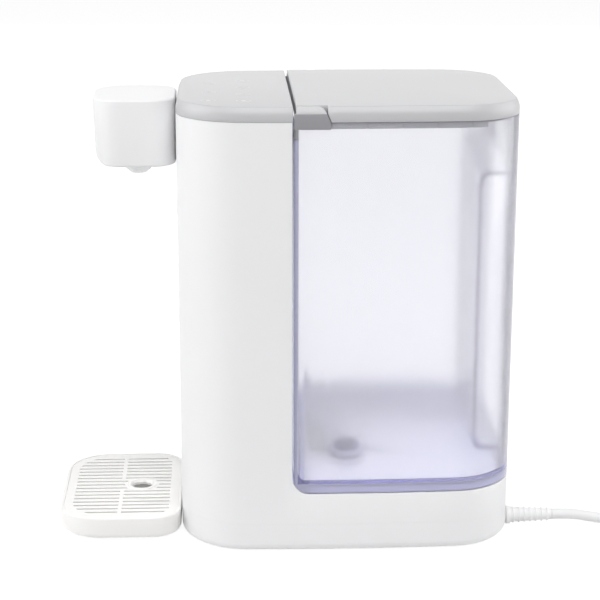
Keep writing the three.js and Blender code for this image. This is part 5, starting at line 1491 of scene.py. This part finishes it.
def strainer(foot, top):
    """A cup with ten windows in its wall."""
    cup = turned([
        (BARREL, foot), (7.4, foot), (7.4, top - 0.9), (7.1, top - 0.3), (6.5, top), (0, top), (0, top - 1),
        (BARREL, top - 1),
    ], *VALVE, sides=64)
    windows = []
    for i in range(10):
        window = slab(3.2, 5.9, -0.6, 0.6, foot - 0.5, top + OVER)
        spin = Matrix.Translation((*VALVE, 0)) @ Matrix.Rotation(2 * math.pi * i / 10, 4, "Z")
        bmesh.ops.transform(window, matrix=spin, verts=window.verts)
        windows.append(window)
    return soften(cut(cup, *windows), 0.15)


class OBJECT_OT_dispenser_valve(bpy.types.Operator):
    """Makes the tank's foot valve, its strainer and the seal in the deck"""

    bl_idname = "object.dispenser_valve"
    bl_label = "Foot valve"

    def execute(self, context):
        x, y = VALVE
        flange = TANK_FLOOR + GAP
        # The barrel's violet grey is the tank's tint and shade, painted on.
        piece("valve_barrel", valve_housing(flange), material("polypropylene, painted tank violet"), "tank",
              ["valve_housing"], smooth=35)
        low, disc, stem, rim = SEAT - 4.5, SEAT + 3, 1.5, 5.6
        head = disc + 1.6
        plunger = turned([
            (0, low), (stem - 0.4, low), (stem, low + 0.4), (stem, disc), (rim - 0.4, disc), (rim, disc + 0.4),
            (rim, head - 0.4), (rim - 0.4, head), (0, head),
        ], x, y)
        piece("plunger", plunger, material("dark polyamide"), "valve_plunger", ["valve_plunger"],
              smooth=35)
        foot = flange + 1.9
        top = foot + 2.6
        # The strainer's violet is the tank wall's tint, painted on.
        piece("strainer_cup", strainer(foot, top), material("strainer mesh, painted tank violet"), "tank", ["strainer"])

        start, end = head + 0.75, top - 1.75
        radius, wire, turns, steps = 3.4, 0.45, 5, 20
        coil = []
        for k in range(turns * steps + 1):
            angle = 2 * math.pi * k / steps
            height = start + (end - start) * k / (turns * steps)
            coil.append((x + radius * math.cos(angle), y + radius * math.sin(angle), height))
        spring = piece("valve_spring_wire", swept(coil, wire, 10), material("drawn steel"), None,
                       ["valve_spring"], smooth=60)
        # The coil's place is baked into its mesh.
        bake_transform(spring)

        place, radius, rubber = (x, y, DECK - 0.2), 9.2, material("black rubber")
        ring = rings({
            "Count": 1, "First": place, "Last": place, "First Radius": radius, "Last Radius": radius,
            "Wire": 0.7, "Turn": (0, 0, 0), "Material": rubber,
        })
        piece("deck_seal", ring, rubber, "machine", ["coupling_seal"])
        return {"FINISHED"}


# What keeps the shape that its solids have: node, body, finish, slot, and rounding in mm.
INNER = [
    ("touch_board", "machine", "circuit board", "circuit_board", 0.1),
    ("power_board", "machine", "circuit board", "circuit_board", 0.4),
    ("heater_bracket", "machine", "drawn steel", "plain_steel", 0.3),
    ("thermal_cutout_1", "machine", "dark polyamide", "dark_plastic", 0.5),
    ("thermal_cutout_2", "machine", "dark polyamide", "dark_plastic", 0.5),
    ("outlet_sensor", "machine", "pressed brass", "yellow_metal", 0.4),
    ("pump_mount", "machine", "black rubber", "black_rubber", 0.8),
    ("reed_switch", "machine", "dark polyamide", "dark_plastic", 0.5),
    ("base_magnet_1", "machine", "drawn steel", "plain_steel", 0.2),
    ("base_magnet_2", "machine", "drawn steel", "plain_steel", 0.2),
    ("tray_magnet_1", "tray", "drawn steel", "plain_steel", 0.2),
    ("tray_magnet_2", "tray", "drawn steel", "plain_steel", 0.2),
    ("tank_magnet", "tank", "dark polyamide", "plain_steel", 0.6),
    ("tank_coupling", "machine", "pale polypropylene", "pale_plastic", 0.3),
    ("pump_rotor", "pump_rotor", "pressed brass", "yellow_metal", 0.2),
    ("inlet_tube", "machine", "milky silicone", "silicone", 0.0),
    ("pump_tube", "machine", "milky silicone", "silicone", 0.0),
    ("spout_tube", "machine", "milky silicone", "silicone", 0.0),
    ("pump_head", "machine", "dark polyamide", "dark_plastic", 0.4),
]


class OBJECT_OT_dispenser_inside(bpy.types.Operator):
    """Makes the pump, the heater, the boards and the water tubes"""

    bl_idname = "object.dispenser_inside"
    bl_label = "Inner pieces"

    def execute(self, context):
        for node, body, finish, slot, width in INNER:
            skin = solid_copy(node)
            if width:
                soften(skin, width)
            piece(f"{node}_made", skin, material(finish), body, [node], smooth=40 if width else 60)

        x, y, z = PUMP
        start, can, shaft = x + 14.3, 11.6, 1.8
        motor = turned([
            (0, start + 8), (shaft, start + 8), (shaft, start), (can - 0.8, start), (can, start + 0.8),
            (can, start + 9), (can - 0.3, start + 9.3), (can - 0.3, start + 10.2), (can, start + 10.5),
            (can, start + 33), (can - 0.8, start + 34), (0, start + 34),
        ], y, z, "x", 64)
        piece("pump_motor_can", motor, material("drawn steel"), "machine", ["pump_motor"],
              smooth=35)

        high = NECK_TOP - 33
        low, radius = high - 112, 15.0
        can = turned([
            (0, low), (radius - 0.8, low), (radius, low + 0.8), (radius, high - 0.8), (radius - 0.8, high),
            (0, high),
        ], *HEATER, sides=72)
        piece("heater_can", can, material("drawn steel"), "machine", ["heater"], smooth=35)
        # Each end cap, from its outer face inwards: a nipple, a shoulder and a skirt over the can.
        pairs = [
            (0, 0), (3.7, 0), (4, 0.4), (4, 8), (16, 8), (16.6, 8.6), (16.6, 17), (15.3, 17), (15.3, 12.5),
            (0, 12.5),
        ]
        for word, at, way in (("bottom", low - GAP, 1), ("top", high + GAP, -1)):
            foot = at - way * 12.5
            cap = turned([(r, foot + way * along) for r, along in pairs], *HEATER, sides=64)
            piece(f"heater_end_{word}", cap, material("dark polyamide"), "machine", [f"heater_cap_{word}"],
                  smooth=35)
        return {"FINISHED"}


class VIEW3D_PT_dispenser(bpy.types.Panel):
    """Lists the dispenser's sizes, colours and pieces"""

    bl_label = "Hot Water Dispenser"
    bl_space_type = "VIEW_3D"
    bl_region_type = "UI"
    bl_category = "Dispenser"

    def draw(self, context):
        for group in (context.scene.dispenser_sizes, context.scene.dispenser_colours):
            box = self.layout.box()
            for name in group.__annotations__:
                box.prop(group, name)
        for operator in OPERATORS:
            self.layout.operator(operator.bl_idname)


OPERATORS = [
    OBJECT_OT_dispenser_stage, OBJECT_OT_dispenser_lead, OBJECT_OT_dispenser_housing, OBJECT_OT_dispenser_base,
    OBJECT_OT_dispenser_cap, OBJECT_OT_dispenser_spout, OBJECT_OT_dispenser_tray, OBJECT_OT_dispenser_tank,
    OBJECT_OT_dispenser_collar, OBJECT_OT_dispenser_lid, OBJECT_OT_dispenser_valve, OBJECT_OT_dispenser_inside,
]
CLASSES = [DispenserSizes, DispenserColours, *OPERATORS, VIEW3D_PT_dispenser]


def register():
    for item in CLASSES:
        bpy.utils.register_class(item)
    bpy.types.Scene.dispenser_sizes = PointerProperty(type=DispenserSizes)
    bpy.types.Scene.dispenser_colours = PointerProperty(type=DispenserColours)


def unregister():
    del bpy.types.Scene.dispenser_colours
    del bpy.types.Scene.dispenser_sizes
    for item in reversed(CLASSES):
        bpy.utils.unregister_class(item)


def main():
    register()
    for operator in OPERATORS:
        group, name = operator.bl_idname.split(".")
        getattr(getattr(bpy.ops, group), name)()


if __name__ == "__main__":
    main()
